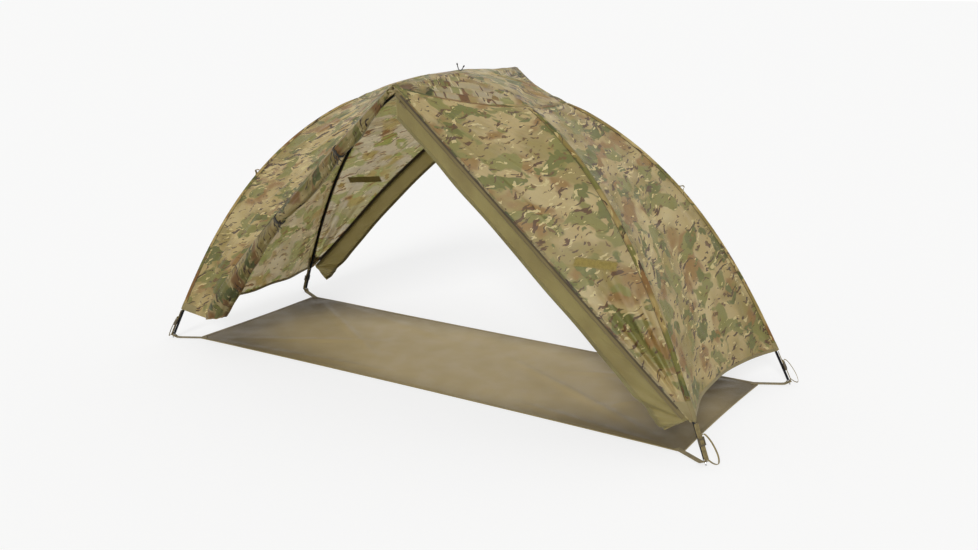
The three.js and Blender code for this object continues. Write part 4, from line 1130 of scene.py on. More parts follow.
def zip_half(door):
    """The half of the zip that stays on the panel: its tape, its coil and the coil's core."""
    distance = np.linspace(ZIP_START, EDGE_LENGTH - ZIP_FINISH, 300)
    lines = [on_edge(door, distance, x, TAPE_MIDDLE - ZIP_THICK / 2) for x in
             np.linspace(CONTACT_GAP, ZIP_TAPE + CONTACT_GAP, 6)]
    band(f"zip_cloth_{door}", lines, ZIP_THICK, ZIP_CLOTH, facing(door), 0.0, (3, 1),
         stands_for=[f"zip_tape_{door}"])
    centre = on_edge(door, distance, COIL_CENTRE, TAPE_MIDDLE)
    teeth = grow(f"zip_coil_{door}", [centre], STITCHES, ZIP,
                 {"Pitch": 0.0021, "Length": 0.0014, "Radius": COIL_RADIUS, "Sides": 9})
    carry(teeth)
    core = grow(f"zip_core_{door}", [centre], CORDS, ZIP, {"Radius": 0.0010, "Sides": 8})
    carry(core)
    return [on_edge(door, distance, 0.0035, TAPE_MIDDLE + ZIP_THICK / 2 + 0.0002)]


def beside(panel, down, distance):
    """The share across a panel of a line at a distance from its door edge."""
    return distance / np.maximum(panel.width_at(down), 0.03)


def edge_hems(panels, door):
    """The folded edge of each side panel along the door opening."""
    pieces, stitches = [], []
    down = np.linspace(0.006, 0.97, 240)
    for side in DOORS[door]:
        panel = panels[f"{door}_{side}"]
        lines = [panel.line(down, beside(panel, down, d), lift) for d, lift in
                 ((0.0002, 0.0002), (0.003, 0.0006), (0.007, 0.0006), (0.010, 0.0002))]
        pieces.append(band(f"edge_hem_{door}_{side}", lines, 0.0007, FLY, facing(door), turn=0.7,
                           shift=(31, 8)))
        stitches.append(panel.line(down, beside(panel, down, 0.0085), 0.0015))
    return pieces, stitches


def door_tapes(panels, door):
    """Dark tape over the joint of the zip and its panel, outside and in, and beside the rolled door. The
    outer strip is painted shadow along the zip edge. Beside the roll, the strip at the edge is partly the
    zip's other tape and partly painted shadow, and the strip further in is a painted shadow line.
    """
    zip_side, roll_side = DOORS[door]
    down = np.linspace(0.03, 0.962, 240)
    panel = panels[f"{door}_{zip_side}"]
    distance = down * EDGE_LENGTH
    # Painted shadow along the zip edge, over the panel's edge and the start of the zip.
    lines = [panel.line(down, beside(panel, down, 0.0012), 0.0014), on_edge(door, distance, 0.0006, 0.0027),
             on_edge(door, distance, 0.0036, 0.0019)]
    band(f"door_tape_outer_{door}", lines, 0.0006, DARK_TAPE_AND_SHADOW, facing(door))
    lines = [panel.line(down, beside(panel, down, d), lift, True) for d, lift in
             ((0.010, 0.0002), (0.005, 0.0006), (0.001, 0.0010))]
    lines += [on_edge(door, distance, 0.0022, -0.0026), on_edge(door, distance, 0.0060, -0.0044)]
    band(f"door_tape_inner_{door}", lines, 0.0007, DARK_TAPE_AND_SHADOW, -facing(door))
    panel = panels[f"{door}_{roll_side}"]
    down = np.linspace(0.05, 0.975, 240)
    # Beside the roll: the edge strip is partly the zip's other tape and partly painted shadow; the fold
    # strip is a painted shadow line.
    for label, rows in (("edge", ((0.0045, 0.0014), (0.0030, 0.0016), (0.0002, 0.0014))),
                        ("fold", ((0.0150, 0.0003), (0.0130, 0.0009), (0.0104, 0.0009)))):
        lines = [panel.line(down, beside(panel, down, d), lift) for d, lift in rows]
        band(f"door_tape_{label}_{door}", lines, 0.0006, DARK_TAPE_AND_SHADOW, facing(door))


def roll_radius(share):
    at, value = np.array(ROLL_SHARES).T
    k = np.clip(np.searchsorted(at, share, side="right") - 1, 0, len(at) - 2)
    way = np.clip((share - at[k]) / (at[k + 1] - at[k]), 0, 1)
    return ROLL_RADIUS * mix(value[k], value[k + 1], (1 - np.cos(math.pi * way)) / 2)


def roll_place(share):
    run = mix(ROLL_START, ROLL_EDGE.length - ROLL_FINISH, share)
    below = np.cross(FRONTWARD, ROLL_EDGE.way(run))
    drop = (roll_radius(share) * (1 + ROLL_LOBE) + SEAM_GAP)[..., None]
    centre = ROLL_EDGE.at(run) + below * drop * math.cos(ROLL_LEAN) + FRONTWARD * drop * math.sin(ROLL_LEAN)
    return centre, below


def roll_point(share, angle, reach):
    centre, below = roll_place(share)
    cos, sin = np.cos(angle)[..., None], np.sin(angle)[..., None]
    return centre + (below * cos - FRONTWARD * sin) * reach[..., None]


def roll_surface(share, angle):
    """How far the roll's outer turn lies from its middle, with the pleats drawn in at the ties."""
    reach = roll_radius(share) * (1 + ROLL_LOBE * np.cos(3 * angle + 2 * math.pi * share))
    tied = sum(np.exp(-((share - tie) / 0.055) ** 2) for tie in (*TOGGLE_SHARES, 0.02))
    pleats = 0.05 * np.sin(8 * angle + 3 * share) + 0.035 * np.sin(13 * angle - 5 * share)
    slack = 0.05 * np.sin(2 * angle + 5 * share) + 0.06 * np.sin(5 * angle - 2.2 * np.sin(7 * share))
    slack = slack + 0.045 * np.sin(9 * angle + 1.8 * np.sin(9 * share) + 2)
    slack = slack + 0.015 * np.sin(3 * angle - 53 * share)
    return reach * (1 + tied * pleats + (1 - np.clip(tied, 0, 1)) * slack)


def rolled_door(door):
    """The door is one sheet, wound from its zip side up to the edge that it hangs from."""
    along, wound = grid(*(np.linspace(0, 1, count) for count in ROLL_GRID))
    turns = mix(3.0, 6.3, ease(along, 0, 0.4))
    angle = math.pi - ROLL_LEAN + 2 * math.pi * turns * (1 - wound)
    skew = 0.045 * (1 + np.cos(angle)) / 2 * ease(along, 0.8, 1) + 0.03 * (1 - wound) * ease(along, 0.85, 1)
    share = along - skew
    drop = roll_radius(share) * (1 + ROLL_LOBE) + SEAM_GAP
    core = mix(0.36, 0.26, ease(along, 0, 0.4))
    reach = roll_surface(share, angle) * mix(core, 1.0, wound)
    reach = mix(reach, drop, ease(wound, 0.985, 1.0))
    points = roll_point(share, angle, reach)
    outside = for_door(door, unit(points - roll_place(share)[0]))
    shift = (15.0, 6.0 if door == "front" else 9.0)
    roll = Cloth(f"door_roll_{door}", for_door(door, points), FLY, -outside, 1.2, shift, 0.0006)
    carry(roll.piece, stands_for=[f"rolled_door_{door}"])
    return roll


def roll_ties(door):
    """A cord wound twice round the roll at each toggle, with its knot and two loose ends."""
    angle = np.linspace(0, 2 * math.pi, 73)
    for i, share in enumerate(TOGGLE_SHARES):
        lines = []
        for shift in (-0.0028, 0.0010):
            here = np.full_like(angle, share + shift)
            lines.append(roll_point(here, angle, roll_surface(here, angle) + 0.0018))
        centre, below = roll_place(np.array(share))
        base = centre + FRONTWARD * float(roll_surface(np.array(share), np.array(-math.pi / 2)))
        side = np.cross(below, FRONTWARD)
        turn = np.linspace(0, 7 * math.pi, 110)
        wide = 0.0042 + 0.0026 * np.sin(turn * 0.45) ** 2
        knot = (base + below * (wide * np.cos(turn))[:, None] + side * (wide * np.sin(turn))[:, None]
                + FRONTWARD * mix(0.0008, 0.0044, turn / turn[-1])[:, None])
        tails = [smooth_path([base + FRONTWARD * 0.004 + side * 0.004 * k,
                              base + FRONTWARD * 0.007 + side * 0.009 * k + below * 0.010,
                              base + FRONTWARD * 0.006 + side * 0.006 * k + below * 0.024 + UP * -0.004,
                              base + FRONTWARD * 0.005 + side * 0.011 * k + below * 0.034 + UP * -0.010])
                 for k in (-1, 1)]
        lines = [for_door(door, line) for line in (*lines, knot, *tails)]
        tie = grow(f"roll_tie_{door}_{i + 1}", lines, CORDS, CORD, {"Radius": TIE_RADIUS, "Sides": 8})
        carry(tie)


def roll_toggle(door, i):
    """A waisted bar on a short neck, which stands on the roll."""
    share = np.array(TOGGLE_SHARES[i])
    centre, below = roll_place(share)
    lobe = ROLL_LOBE * math.cos(-1.5 * math.pi + 2 * math.pi * float(share))
    surface = float(roll_radius(share) * (1 + lobe))
    reach = TOGGLE_NECK_LENGTH + TOGGLE_RADIUS
    middle = centre + FRONTWARD * (surface + CONTACT_GAP + reach)
    half, r, waist, rim = TOGGLE_LENGTH / 2, TOGGLE_RADIUS, TOGGLE_RADIUS * 0.72, 0.0004
    rounded = [(r * math.sin(a), r * (1 - math.cos(a))) for a in np.linspace(0, math.pi / 2, 6)]
    waisted = [(mix(waist, r, abs(2 * s - 1) ** 1.5), mix(r, 2 * half - r, s))
               for s in np.linspace(0, 1, 17)[1:-1]]
    bar = rounded + waisted + [(x, 2 * half - y) for x, y in rounded[::-1]]
    bar[0], bar[-1] = (0, 0), (0, 2 * half)
    neck = [(0, 0), (TOGGLE_NECK, 0), (TOGGLE_NECK, reach - rim), (TOGGLE_NECK - rim, reach), (0, reach)]
    bar_line = np.linspace(middle - below * half, middle + below * half, 9)
    neck_line = np.linspace(middle, middle - FRONTWARD * reach, 5)
    body = f"roll_toggle_{door}_{i + 1}"
    for label, line, profile in (("bar", bar_line, bar), ("neck", neck_line, neck)):
        path = Path(for_door(door, line))
        piece = round_body(f"toggle_{label}_{door}_{i + 1}", path, profile, 18, PLASTIC)
        carry(piece, body, [body] if label == "bar" else ())


def on_panel(panel, x, z):
    """Shares down and across a side panel of the places seen at x and z from the door."""
    down, across, step = np.full_like(x, 0.55), np.full_like(x, 0.5), 0.01
    for _ in range(24):
        here = panel.line(down, across)
        by_down = (panel.line(down + step, across) - here) / step
        by_across = (panel.line(down, across + step) - here) / step
        size = by_down[..., 0] * by_across[..., 2] - by_down[..., 2] * by_across[..., 0]
        off_x, off_z = x - here[..., 0], z - here[..., 2]
        more_down = off_x * by_across[..., 2] - off_z * by_across[..., 0]
        more_across = off_z * by_down[..., 0] - off_x * by_down[..., 2]
        down = np.clip(down + 0.8 * more_down / size, 0.02, 0.97)
        across = np.clip(across + 0.8 * more_across / size, 0.02, 0.97)
    return down, across


def olive_tape(panels, door):
    """The short tape sewn on the panel beside the zip, and its backing inside."""
    panel = panels[f"{door}_{DOORS[door][0]}"]
    sign = 1 if door == "front" else -1
    middle_z = PEAK[2] - TAPE_X * ZIP_SLOPE + TAPE_RISE[door] - 0.004
    v, u = grid(np.linspace(-0.5, 0.5, 7), np.linspace(-0.5, 0.5, 30))
    cos, sin = math.cos(TAPE_TILT), math.sin(TAPE_TILT)
    x, z = u * TAPE_SIZE[0], v * TAPE_SIZE[1]
    down, across = on_panel(panel, sign * (TAPE_X + x * cos + z * sin), middle_z - x * sin + z * cos)
    tapes = (("tape", False, 0.0012, [f"olive_tape_{door}"]), ("tape_backing", True, 0.0008, ()))
    for label, inside, thickness, stands_for in tapes:
        lines = [panel.line(down[k], across[k], CONTACT_GAP, inside) for k in range(len(down))]
        band(f"olive_{label}_{door}", lines, thickness, OLIVE, facing(door) * (-1 if inside else 1),
             0.0, stands_for=stands_for)
    return [panel.line(mix(down[a], down[b], 0.4), mix(across[a], across[b], 0.4), 0.0016)
            for a, b in ((1, 0), (-2, -1))]


# Corners

def pole_frame(corner):
    x, y = CORNERS[corner]
    way = ARCHES[corner].way(np.array([0.0]))[0]
    lean = math.atan2(way[2], math.hypot(way[0], way[1]))
    turn = math.atan2(y * FOOT_Y, x * FOOT_X)
    return (Matrix.Translation((x * FOOT_X, y * FOOT_Y, 0)) @ Matrix.Rotation(turn, 4, "Z")
            @ Matrix.Rotation(lean - math.pi / 2, 4, "Y")), lean


def placed_in(matrix, points):
    matrix = np.array(matrix)
    return np.asarray(points) @ matrix[:3, :3].T + matrix[:3, 3]


def strap(name, matrix, path, width, thickness):
    """A flat strap of webbing along a path in the XZ plane of a frame, as wide as given along its Y."""
    path = np.array(path, float)
    way = unit(np.gradient(path, axis=0))
    normal = np.stack([-way[:, 1], way[:, 0]], -1)
    base = path - normal * thickness / 2
    lines, outs = [], []
    for y in np.linspace(-width / 2, width / 2, 7):
        lines.append(placed_in(matrix, np.stack([base[:, 0], np.full(len(base), y), base[:, 1]], -1)))
        out = np.stack([normal[:, 0], np.zeros(len(base)), normal[:, 1]], -1)
        outs.append(out @ np.array(matrix)[:3, :3].T)
    points = np.stack(lines)
    vertices, faces, _, _ = closed_shell(points, thickness, np.stack(outs))
    uv = cloth_uv(points).reshape(-1, 2)
    return add_mesh(name, vertices, faces, WEBBING, np.concatenate([uv, uv]))


def bored(piece, matrix):
    """Cuts the hole for the pin."""
    path = Path(placed_in(matrix, [(0, 0, z) for z in np.linspace(0.004, 0.024, 5)]))
    profile = [(0, 0.0), (HOLE_RADIUS, 0.0), (HOLE_RADIUS, path.length), (0, path.length)]
    cutter = round_body("cutter", path, profile, 20, STEEL)
    modifier = piece.modifiers.new("hole", "BOOLEAN")
    modifier.operation = "DIFFERENCE"
    modifier.object = cutter
    modifier.solver = "EXACT"
    settled(piece, modifier)
    bpy.data.objects.remove(cutter)


def eyelet(name, matrix, height):
    path = Path(placed_in(matrix, [(0, 0, z) for z in np.linspace(0, 0.03, 7)]))
    inner, barrel, outer, lip, half = 0.0029, 0.0033, 0.0056, 0.00074, 0.00098
    profile = [(inner, -half), (outer - 0.0003, -half), (outer, -lip), (barrel, -lip), (barrel, lip),
               (outer, lip), (outer - 0.0003, half), (inner, half)]
    piece = round_body(name, path, [(r, height + at) for r, at in profile], 28, STEEL)
    return carry(piece)


def corner_strap(corner):
    matrix, _ = pole_frame(corner)
    bend = LOCK_MIDDLE - PIN_RADIUS - 0.0009 - STRAP_THICK
    arc = [(LOCK_MIDDLE - bend + bend * math.cos(a), STRAP_SEAT + bend + bend * math.sin(a))
           for a in np.linspace(-math.pi / 2, 0, 9)]
    flat = [(x, STRAP_SEAT) for x in np.linspace(-CORNER_STRAP_HEEL, LOCK_MIDDLE - bend, 12)[:-1]]
    rise = [(LOCK_MIDDLE, z) for z in np.linspace(arc[-1][1], CORNER_STRAP_TOP, 40)[1:]]
    piece = strap(f"corner_webbing_{corner}", matrix, flat + arc + rise, CORNER_STRAP_WIDTH, STRAP_THICK)
    bored(piece, matrix)
    carry(piece, stands_for=[f"corner_strap_{corner}"])
    reach = LOOP_REACH[corner]
    turns = [(LOCK_MIDDLE, CORNER_STRAP_TOP - 0.006)]
    turns += [(LOCK_MIDDLE + reach * out, mix(0.002, 0.088, up)) for out, up in LOOP_SHARES]
    loop = strap(f"pull_loop_{corner}", matrix, smooth_path(turns, 14), 0.006, STRAP_THICK)
    carry(loop)
    eyelet(f"corner_eyelet_{corner}", matrix, STRAP_SEAT)
    return [placed_in(matrix, [(LOCK_MIDDLE + 0.0009, y, CORNER_STRAP_TOP - z)
                               for y in np.linspace(-0.007, 0.007, 8)])
            for z in (0.003, 0.008)]


def groundsheet_strap(corner):
    """From its box of stitches on the sheet, flat on the ground and up to its hole round the pin."""
    x, y = CORNERS[corner]
    foot = np.array([x * FOOT_X, y * FOOT_Y])
    way = foot - np.array([x * SHEET_X, y * SHEET_Y])
    sewn = -np.hypot(*way)
    pin, lean = pole_frame(corner)
    seat = STRAP_SEAT - STRAP_THICK - 0.0011
    pin_x, pin_z = -seat * math.cos(lean), seat * math.sin(lean)
    rise = math.pi / 2 - lean
    low = 0.0015 + CONTACT_GAP + STRAP_THICK / 2
    rise_x = pin_x - (pin_z - low) / math.tan(rise)
    lift = 0.034 * 0.125
    past = 0.009
    path = [(sewn - STRAP_SEWN, low), (sewn, low), (sewn * 0.6, low), (rise_x - 2 * lift, low),
            (rise_x + lift, low + lift * math.tan(rise) / 2), (pin_x, pin_z),
            (pin_x + past * math.cos(rise), pin_z + past * math.sin(rise))]
    matrix = Matrix.Translation((*foot, 0)) @ Matrix.Rotation(math.atan2(way[1], way[0]), 4, "Z")
    fine = Path(np.insert(np.array(path), 1, 0, axis=1))
    line = fine.at(np.linspace(0, fine.length, 90))[:, [0, 2]]
    piece = strap(f"groundsheet_webbing_{corner}", matrix, line, STRAP_WIDTH, STRAP_THICK)
    bored(piece, pin)
    carry(piece, stands_for=[f"groundsheet_strap_{corner}"])
    eyelet(f"groundsheet_eyelet_{corner}", pin, seat)
    inner, outer, half = sewn - 0.029, sewn - 0.004, 0.007
    box = [(inner, -half), (inner, half), (outer, half), (outer, -half), (inner, -half), (outer, half)]
    return [placed_in(matrix, [(px, py, low + STRAP_THICK / 2 + 0.0002) for px, py in box])]


def soft_box(size, centre, rim=0.0007):
    """A box with rounded edges, as points and faces."""
    shape = bmesh.new()
    bmesh.ops.create_cube(shape, size=1)
    bmesh.ops.scale(shape, vec=size, verts=shape.verts)
    bmesh.ops.bevel(shape, geom=shape.edges, offset=rim, segments=2, profile=0.5, affect="EDGES")
    bmesh.ops.translate(shape, vec=centre, verts=shape.verts)
    mesh = bpy.data.meshes.new("box")
    shape.to_mesh(mesh)
    shape.free()
    return linked("box", mesh)


def lock_mesh():
    """The ladder lock in a pole's frame: two rails and four bars, which run into each other."""
    half = CORNER_STRAP_WIDTH / 2 + LOCK_GAP + LOCK_RAIL / 2
    face = STRAP_THICK / 2 + LOCK_GAP + LOCK_BAR_THICK / 2
    depth = 2 * face + LOCK_BAR_THICK
    middle = LOCK_FOOT + LOCK_LENGTH / 2
    low, high = LOCK_FOOT + LOCK_BAR / 2, LOCK_FOOT + LOCK_LENGTH - LOCK_BAR / 2
    parts = [soft_box((depth, LOCK_RAIL, LOCK_LENGTH), (LOCK_MIDDLE, side * half, middle))
             for side in (-1, 1)]
    for side, at in ((1, low), (-1, middle), (1, high - LOCK_BAR), (-1, high)):
        parts.append(soft_box((LOCK_BAR_THICK, 2 * half, LOCK_BAR), (LOCK_MIDDLE + side * face, 0, at)))
    whole = bmesh.new()
    for part in parts:
        whole.from_mesh(part.data)
        bpy.data.objects.remove(part)
    bmesh.ops.recalc_face_normals(whole, faces=whole.faces)
    made = bpy.data.meshes.new("lock")
    whole.to_mesh(made)
    whole.free()
    return made


def corner_lock(corner, shape):
    matrix, _ = pole_frame(corner)
    mesh = shape.copy()
    mesh.transform(matrix)
    mesh.materials.clear()
    mesh.materials.append(PLASTIC)
    mesh.polygons.foreach_set("use_smooth", [True] * len(mesh.polygons))
    mesh.set_sharp_from_angle(angle=math.radians(40))
    piece = linked(f"ladder_lock_{corner}", mesh)
    mesh.name = piece.name
    carry(piece, f"corner_lock_{corner}", [f"corner_lock_{corner}"])


def corner_tab(corner):
    matrix, _ = pole_frame(corner)
    middle = LOCK_MIDDLE - STRAP_THICK / 2 - LOCK_GAP - LOCK_BAR_THICK / 2
    path = ARCHES[corner]
    top = np.linalg.norm(path.at(np.array(edge_lengths(corner)[1])) - path.at(np.array(0.0))) - 0.004
    bottom = LOCK_FOOT + LOCK_LENGTH + CONTACT_GAP
    line = [(middle, z) for z in np.linspace(top, bottom, 24)]
    piece = strap(f"corner_tab_{corner}", matrix, line, CORNER_STRAP_WIDTH, STRAP_THICK)
    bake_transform(piece)
    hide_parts(f"fly_corner_tab_{corner}")


# Distance from the pole's seam and height above the panel, from the patch's edge to its ridge
PATCH_RISE = ((0.0095, 0.0022), (0.006, 0.003), (0.0035, 0.0046), (0.0005, 0.0062))


def corner_patch(panels, corner):
    """Reinforcing cloth wrapped round the pole at the fly's corner, wider beside a zip."""
    x, y = CORNERS[corner]
    wide = corner in ("front_right", "back_left")
    top, reach, first = (0.945, 0.030, 0.06) if wide else (0.972, 0.018, 0.56)
    shares = (0.04, 0.2, 0.4, 0.6) if wide else (0.55, 0.6, 0.65)
    down = np.linspace(top, 0.998, 40)
    side = panels[corner]
    width = side.width_at(down)
    lines = [side.line(down, share, 0.0015) for share in shares]
    lines += [on_side(panels, corner, down, np.minimum(d, width * 0.3), lift) for d, lift in PATCH_RISE]
    lines += [on_end(panels, corner, down, d, lift) for d, lift in
              (*PATCH_RISE[::-1], (0.014, 0.0015), (reach, 0.0015))]
    band(f"corner_patch_{corner}", lines, 0.0007, BINDING, np.array([x, y, 0.6]), 1.2)
    return [side.line(np.full(20, top + 0.003), np.linspace(first, 0.8, 20), 0.0026)]


# Groundsheet

# Each crease starts at a corner and ends at shares of the sheet's half sizes: then height, half width
SHEET_CREASES = [
    ((-1, 1), (-0.25, -0.5), 0.006, 0.020), ((-1, 1), (0.1, 0.3), 0.004, 0.03),
    ((1, -1), (0.1, 0.35), 0.007, 0.022), ((1, -1), (0.35, -0.75), 0.005, 0.02),
    ((-1, -1), (-0.3, 0.1), 0.005, 0.025), ((1, 1), (0.35, 0.2), 0.006, 0.02),
    ((1, 1), (0.6, -0.6), 0.004, 0.018), ((-1, -1), (-0.1, -0.72), 0.004, 0.02),
    ((1, -1), (0.72, 0.6), 0.005, 0.018),
]


def groundsheet():
    """The sheet lies nearly flat, with creases drawn out from its strapped corners."""
    s, t = grid(*(np.linspace(-1, 1, count) for count in SHEET_GRID))
    x = s * (SHEET_X - SHEET_END_CURVE / 2 * (1 - t * t))
    y = t * (SHEET_Y - SHEET_SIDE_CURVE / 2 * (1 - s * s))
    rise = 0.0022 + ripple(x, y, 91, 0.0016, 0.5) + ripple(x, y, 92, 0.0007, 0.16)
    half = np.array([SHEET_X, SHEET_Y])
    for corner, end, height, wide in SHEET_CREASES:
        start = np.array(corner) * half
        run = np.array(end) * half - start
        reach = np.hypot(*run)
        way = ((x - start[0]) * run[0] + (y - start[1]) * run[1]) / reach ** 2
        off = ((x - start[0]) * run[1] - (y - start[1]) * run[0]) / reach
        rise += height * np.sin(math.pi * np.clip(way, 0, 1)) ** 0.8 * np.exp(-(off / wide) ** 2)
    near = np.minimum(1 - np.abs(s), (1 - np.abs(t)) * SHEET_Y / SHEET_X)
    corner = np.hypot((1 - np.abs(s)) * SHEET_X, (1 - np.abs(t)) * SHEET_Y)
    rise = 0.0004 + np.maximum(rise, 0.0003) * np.clip(near / 0.02 + 0.15, 0, 1) * ease(corner, 0.02, 0.14)
    sheet = Cloth("groundsheet_cloth", np.stack([x, y, rise], -1), SATIN, UP, 0.4, (2, 2), 0.0008)
    carry(sheet.piece, stands_for=["groundsheet"])
    return sheet


def groundsheet_hems(sheet):
    """The folded and stitched hem on all four sides, and the piping round it."""
    pieces, stitches = [], []
    long, short = np.linspace(0.0, 1.0, 260), np.linspace(0.022, 0.978, 100)
    sides = {
        "front": lambda d: (long, d / (2 * SHEET_Y)),
        "back": lambda d: (long, 1 - d / (2 * SHEET_Y)),
        "left": lambda d: (d / (2 * SHEET_X), short),
        "right": lambda d: (1 - d / (2 * SHEET_X), short),
    }
    for label, place in sides.items():
        lines = [sheet.line(*place(d), lift) for d, lift in
                 ((0.0004, 0.0001), (0.003, 0.0004), (0.009, 0.0004), (0.014, 0.0001))]
        hem = band(f"groundsheet_hem_{label}", lines, 0.0005, SATIN, UP, 0.1, (5, 5))
        pieces.append(hem)
        stitches.append(sheet.line(*place(0.012), 0.0008))
    rim = [sheet.line(d, a, 0.0004) for d, a in ((long, 0.0), (long, 1.0), (0.0, short), (1.0, short))]
    piping = grow("groundsheet_piping", rim, CORDS, BINDING, {"Radius": 0.0019, "Sides": 8})
    carry(piping)
    return pieces, stitches


# Ties and loops

def top_tie():
    """The cord that holds the crossing: both its ends stand up, with a knot near each."""
    low = CAP_TOP + 0.0023 + TIE_RADIUS
    shares = [(-1, 0, 1), (-0.6, 0, 0.3), (-0.25, 0, 0.02),
              (0.25, 0.1, 0.02), (0.6, 0.25, 0.3), (1, 0.5, 0.7)]
    points = smooth_path([(0.014 * x, 0.014 * y, low + 0.026 * z) for x, y, z in shares], 10)
    path = Path(points)

    def radius(at):
        from_knot = min(at, path.length - at) - 0.0045
        return TIE_RADIUS + 0.0014 * math.exp(-(from_knot / 0.0022) ** 2)

    stations = np.linspace(0.0004, path.length - 0.0004, 60)
    profile = [(0, 0), *((radius(at), at) for at in stations), (0, path.length)]
    piece = round_body("tie_cord", path, profile, 12, CORD)
    carry(piece, stands_for=["top_tie"])


def guy_loop(panels, corner):
    """A small loop of tape sewn into the seam over the pole."""
    shares = np.linspace(0, 1, 400)
    down = np.interp(-GUY_LOOP_HEIGHT, -seat_on(corner, shares)[:, 2], shares)
    here = on_side(panels, corner, np.array([down, down + 0.01]), 0.0006, 0.0052)
    way = unit(here[1] - here[0])
    x, y = CORNERS[corner]
    out = unit(np.array([x * 0.85, y * 0.25, 0.55]))
    out = unit(out - way * float(out @ way))
    side = np.cross(way, out)
    base = here[0]
    turns = smooth_path([base + way * a + out * b for a, b in
                         ((-0.012, 0.0), (-0.008, 0.003), (-0.005, 0.009), (0.001, 0.012), (0.005, 0.008),
                          (0.007, 0.003), (0.012, 0.0))], 8)
    matrix = Matrix(np.vstack([np.stack([way, side, out, base], 1), [0, 0, 0, 1]]).tolist())
    local = np.stack([(turns - base) @ way, (turns - base) @ out], -1)
    piece = strap(f"guy_loop_{corner}", matrix, local, *GUY_LOOP_SIZE)
    carry(piece)


# The cap's edge and peaks

def interpolated(rows, at):
    r = int(min(max(at, 0), len(rows) - 2))
    return mix(rows[r], rows[r + 1], at - r)


def cap_seam(panels, upper):
    """The flat seam that joins the cap to the panels round it."""
    def ring(distance, lift):
        return interpolated(upper, (1 - distance / CAP_REACH) * len(upper) - 1) + UP * lift

    outer = []
    for name, first, second in CAP_SECTORS:
        share = mix(first, second, np.arange(CAP_STEPS) / CAP_STEPS)
        outer.append(panels[name].line(0.0032, share, 0.0006))
    lines = [ring(0.011, 0.0002), ring(0.0085, 0.0007), ring(0.004, 0.0011), ring(0.001, 0.0012)]
    seam = band("cap_seam", [*lines, np.concatenate(outer)], 0.0006, FLY_DOUBLED, UP, turn=0.0,
                shift=(40, 3), ring=True)
    stitches = [np.concatenate([line, line[:1]]) for line in (ring(0.0092, 0.0014), ring(0.0025, 0.0019))]
    return seam, stitches


def cap_patches():
    """A doubled piece of cloth over each peak of the fly."""
    pieces = []
    share = np.linspace(0, 1, 24)
    around = np.mod(np.concatenate([mix(5.72, 6.0, share[:-1]), mix(0.0, 0.28, share)]), 6)
    for door, turn in (("front", around), ("back", np.mod(around + 3, 6))):
        lines = [cap_surface(turn, np.full_like(turn, reach)) + UP * (CLOTH + 0.0012)
                 for reach in (0.86, 0.90, 0.94, 0.975, 0.993)]
        pieces.append(band(f"peak_patch_{door}", lines, 0.0006, FLY, UP, turn=1.0, shift=(50, 9)))
    return pieces


# Floor and light

def bare_tree(owner):
    owner.use_nodes = True
    owner.node_tree.nodes.clear()
    return owner.node_tree


def ray_kind(tree, *kinds):
    """One for rays of these kinds and nothing for all others."""
    seen = add_node(tree, "ShaderNodeLightPath").outputs
    found = seen[kinds[0]]
    for kind in kinds[1:]:
        found = add_node(tree, "ShaderNodeMath", {0: found, 1: seen[kind]}, operation="MAXIMUM").outputs[0]
    return found


def pale_sky():
    """White where it is seen, also in reflections, and a plain soft light on everything."""
    world = bpy.data.worlds.new("studio")
    bpy.context.scene.world = world
    tree = bare_tree(world)
    seen = ray_kind(tree, "Is Camera Ray", "Is Glossy Ray", "Is Transmission Ray")
    strength = add_node(tree, "ShaderNodeMapRange", {"Value": seen, "To Min": SKY_LIGHT, "To Max": 1.0})
    sky = add_node(tree, "ShaderNodeBackground", {"Color": WHITE, "Strength": strength.outputs[0]})
    add_node(tree, "ShaderNodeOutputWorld", {"Surface": sky.outputs[0]})


def pale_floor():
    """Nearly white to the camera, and still darker under the tent."""
    finish = bpy.data.materials.new("floor")
    tree = bare_tree(finish)
    share = add_node(tree, "ShaderNodeMath", {0: ray_kind(tree, "Is Camera Ray"), 1: FLOOR_WHITENESS},
                     operation="MULTIPLY")
    plain = add_node(tree, "ShaderNodeBsdfDiffuse", {"Color": FLOOR_TONE})
    white = add_node(tree, "ShaderNodeEmission", {"Color": WHITE})
    both = add_node(tree, "ShaderNodeMixShader",
                    {0: share.outputs[0], 1: plain.outputs[0], 2: white.outputs[0]})
    add_node(tree, "ShaderNodeOutputMaterial", {"Surface": both.outputs[0]})
    mesh = bpy.data.meshes.new("floor")
    ways = ((-1, -1), (1, -1), (1, 1), (-1, 1))
    corners = [(x * FLOOR_REACH, y * FLOOR_REACH, -FLOOR_DROP) for x, y in ways]
    mesh.from_pydata(corners, [], [(0, 1, 2, 3)])
    mesh.materials.append(finish)
    linked("floor", mesh)


def lamps():
    for name, (way, power, angle) in LAMPS.items():
        data = bpy.data.lights.new(name, "SUN")
        data.energy = power
        data.angle = math.radians(angle)
        lamp = linked(name, data)
        lamp.rotation_mode = "QUATERNION"
        lamp.rotation_quaternion = Vector(way).to_track_quat("Z", "Y")


def studio():
    pale_sky()
    pale_floor()
    lamps()
    bpy.context.scene.view_settings.view_transform = "Standard"


# The whole tent

def build_frame():
    """Both arches, the brow pole and the pole tips; gives the names of the arches' tubes."""
    tubes = arch_pole("low_arch", ARCHES["front_left"]) + arch_pole("high_arch", ARCHES["back_left"])
    brow_pole()
    for corner in CORNERS:
        pole_tip(corner)
    return tubes


def build_panels():
    panels = {}
    for door, sides in DOORS.items():
        for side in sides:
            corner = f"{door}_{side}"
            panels[corner] = side_panel(corner, door)
            carry(panels[corner].piece, stands_for=[f"fly_panel_{corner}"])
    for side in ("left", "right"):
        panels[side] = end_panel(side)
        carry(panels[side].piece, stands_for=[f"fly_panel_{side}_end"])
    return panels


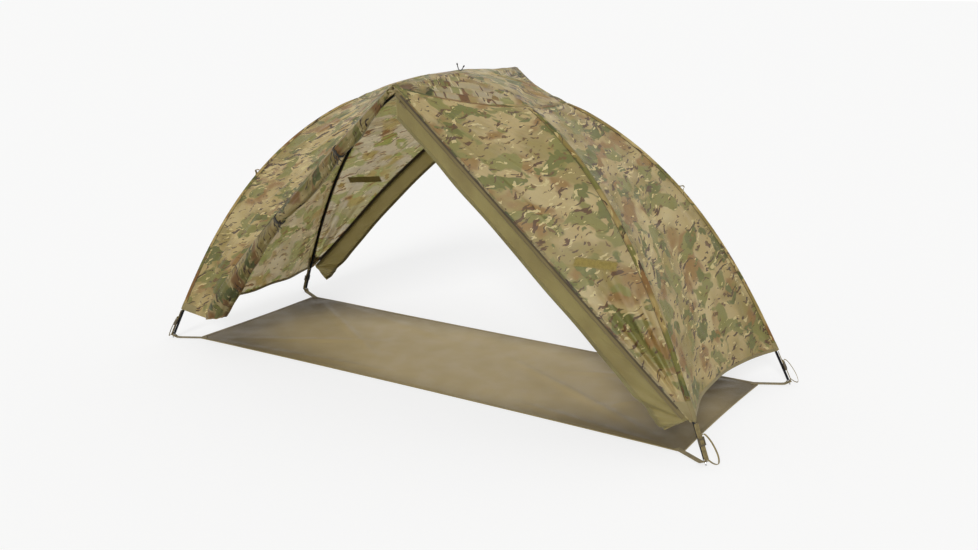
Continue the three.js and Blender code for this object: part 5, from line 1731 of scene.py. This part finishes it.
def build_door(panels, door, poles, stitches):
    """One opening with its hems, flap, zip, rolled door, ties and toggles, and the tape beside it."""
    zip_panel, roll_panel = (panels[f"{door}_{side}"] for side in DOORS[door])
    hems, lines = edge_hems(panels, door)
    stitches["fly_cloth"] += lines
    flap, flap_hem, lines = storm_flap(door)
    stitches["flap_cloth"] += lines
    door_tapes(panels, door)
    stitches["zip"] += zip_half(door)
    roll = rolled_door(door)
    roll_ties(door)
    for i in range(len(TOGGLE_SHARES)):
        roll_toggle(door, i)
    stitches["fly_cloth"] += olive_tape(panels, door)
    zip_panel.declare("stretched", poles, [hems[0]])
    roll_panel.declare("stretched", poles, [hems[1]])
    flap.declare("hung", [zip_panel.piece], [flap_hem])


def build_corner(panels, corner, lock, stitches):
    stitches["fly_cloth"] += corner_patch(panels, corner)
    stitches["webbing"] += corner_strap(corner)
    stitches["webbing"] += groundsheet_strap(corner)
    corner_lock(corner, lock)
    corner_tab(corner)


def sew(stitches):
    """Makes one piece of all the stitches in each kind of cloth."""
    for slot, lines in stitches.items():
        thread = grow(f"{slot.removesuffix('_cloth')}_stitches", lines, STITCHES, THREAD, STITCH)
        carry(thread)


def dress_zips():
    """Sliders and pulls keep the part's own meshes and only get their finish."""
    for door in DOORS:
        for node in (f"zip_slider_{door}", f"zip_pull_{door}"):
            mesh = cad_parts[node].data
            mesh.materials.clear()
            mesh.materials.append(ZIP)


def build_tent():
    make_camera()
    top_tie()
    poles = build_frame()
    panels = build_panels()
    cap, cap_area, upper = top_cap()
    carry(cap, stands_for=["fly_top_cap"])

    stitches = {slot: [] for slot in ("fly_cloth", "flap_cloth", "zip", "webbing", "groundsheet_cloth")}
    stitches["fly_cloth"] += pole_seams(panels)
    hems, lines = end_hems(panels)
    stitches["fly_cloth"] += lines
    cap_band, lines = cap_seam(panels, upper)
    stitches["fly_cloth"] += lines
    peaks = cap_patches()
    for door in DOORS:
        build_door(panels, door, poles, stitches)
    lock = lock_mesh()
    for corner in CORNERS:
        build_corner(panels, corner, lock, stitches)
    for corner in ("front_left", "back_right"):
        guy_loop(panels, corner)
    sheet = groundsheet()
    sheet_hems, lines = groundsheet_hems(sheet)
    stitches["groundsheet_cloth"] += lines
    sew(stitches)
    dress_zips()

    for side in ("left", "right"):
        panels[side].declare("stretched", poles, [hems[side]])
    sheet.declare("laid", ["floor"], sheet_hems)


build_tent()
studio()
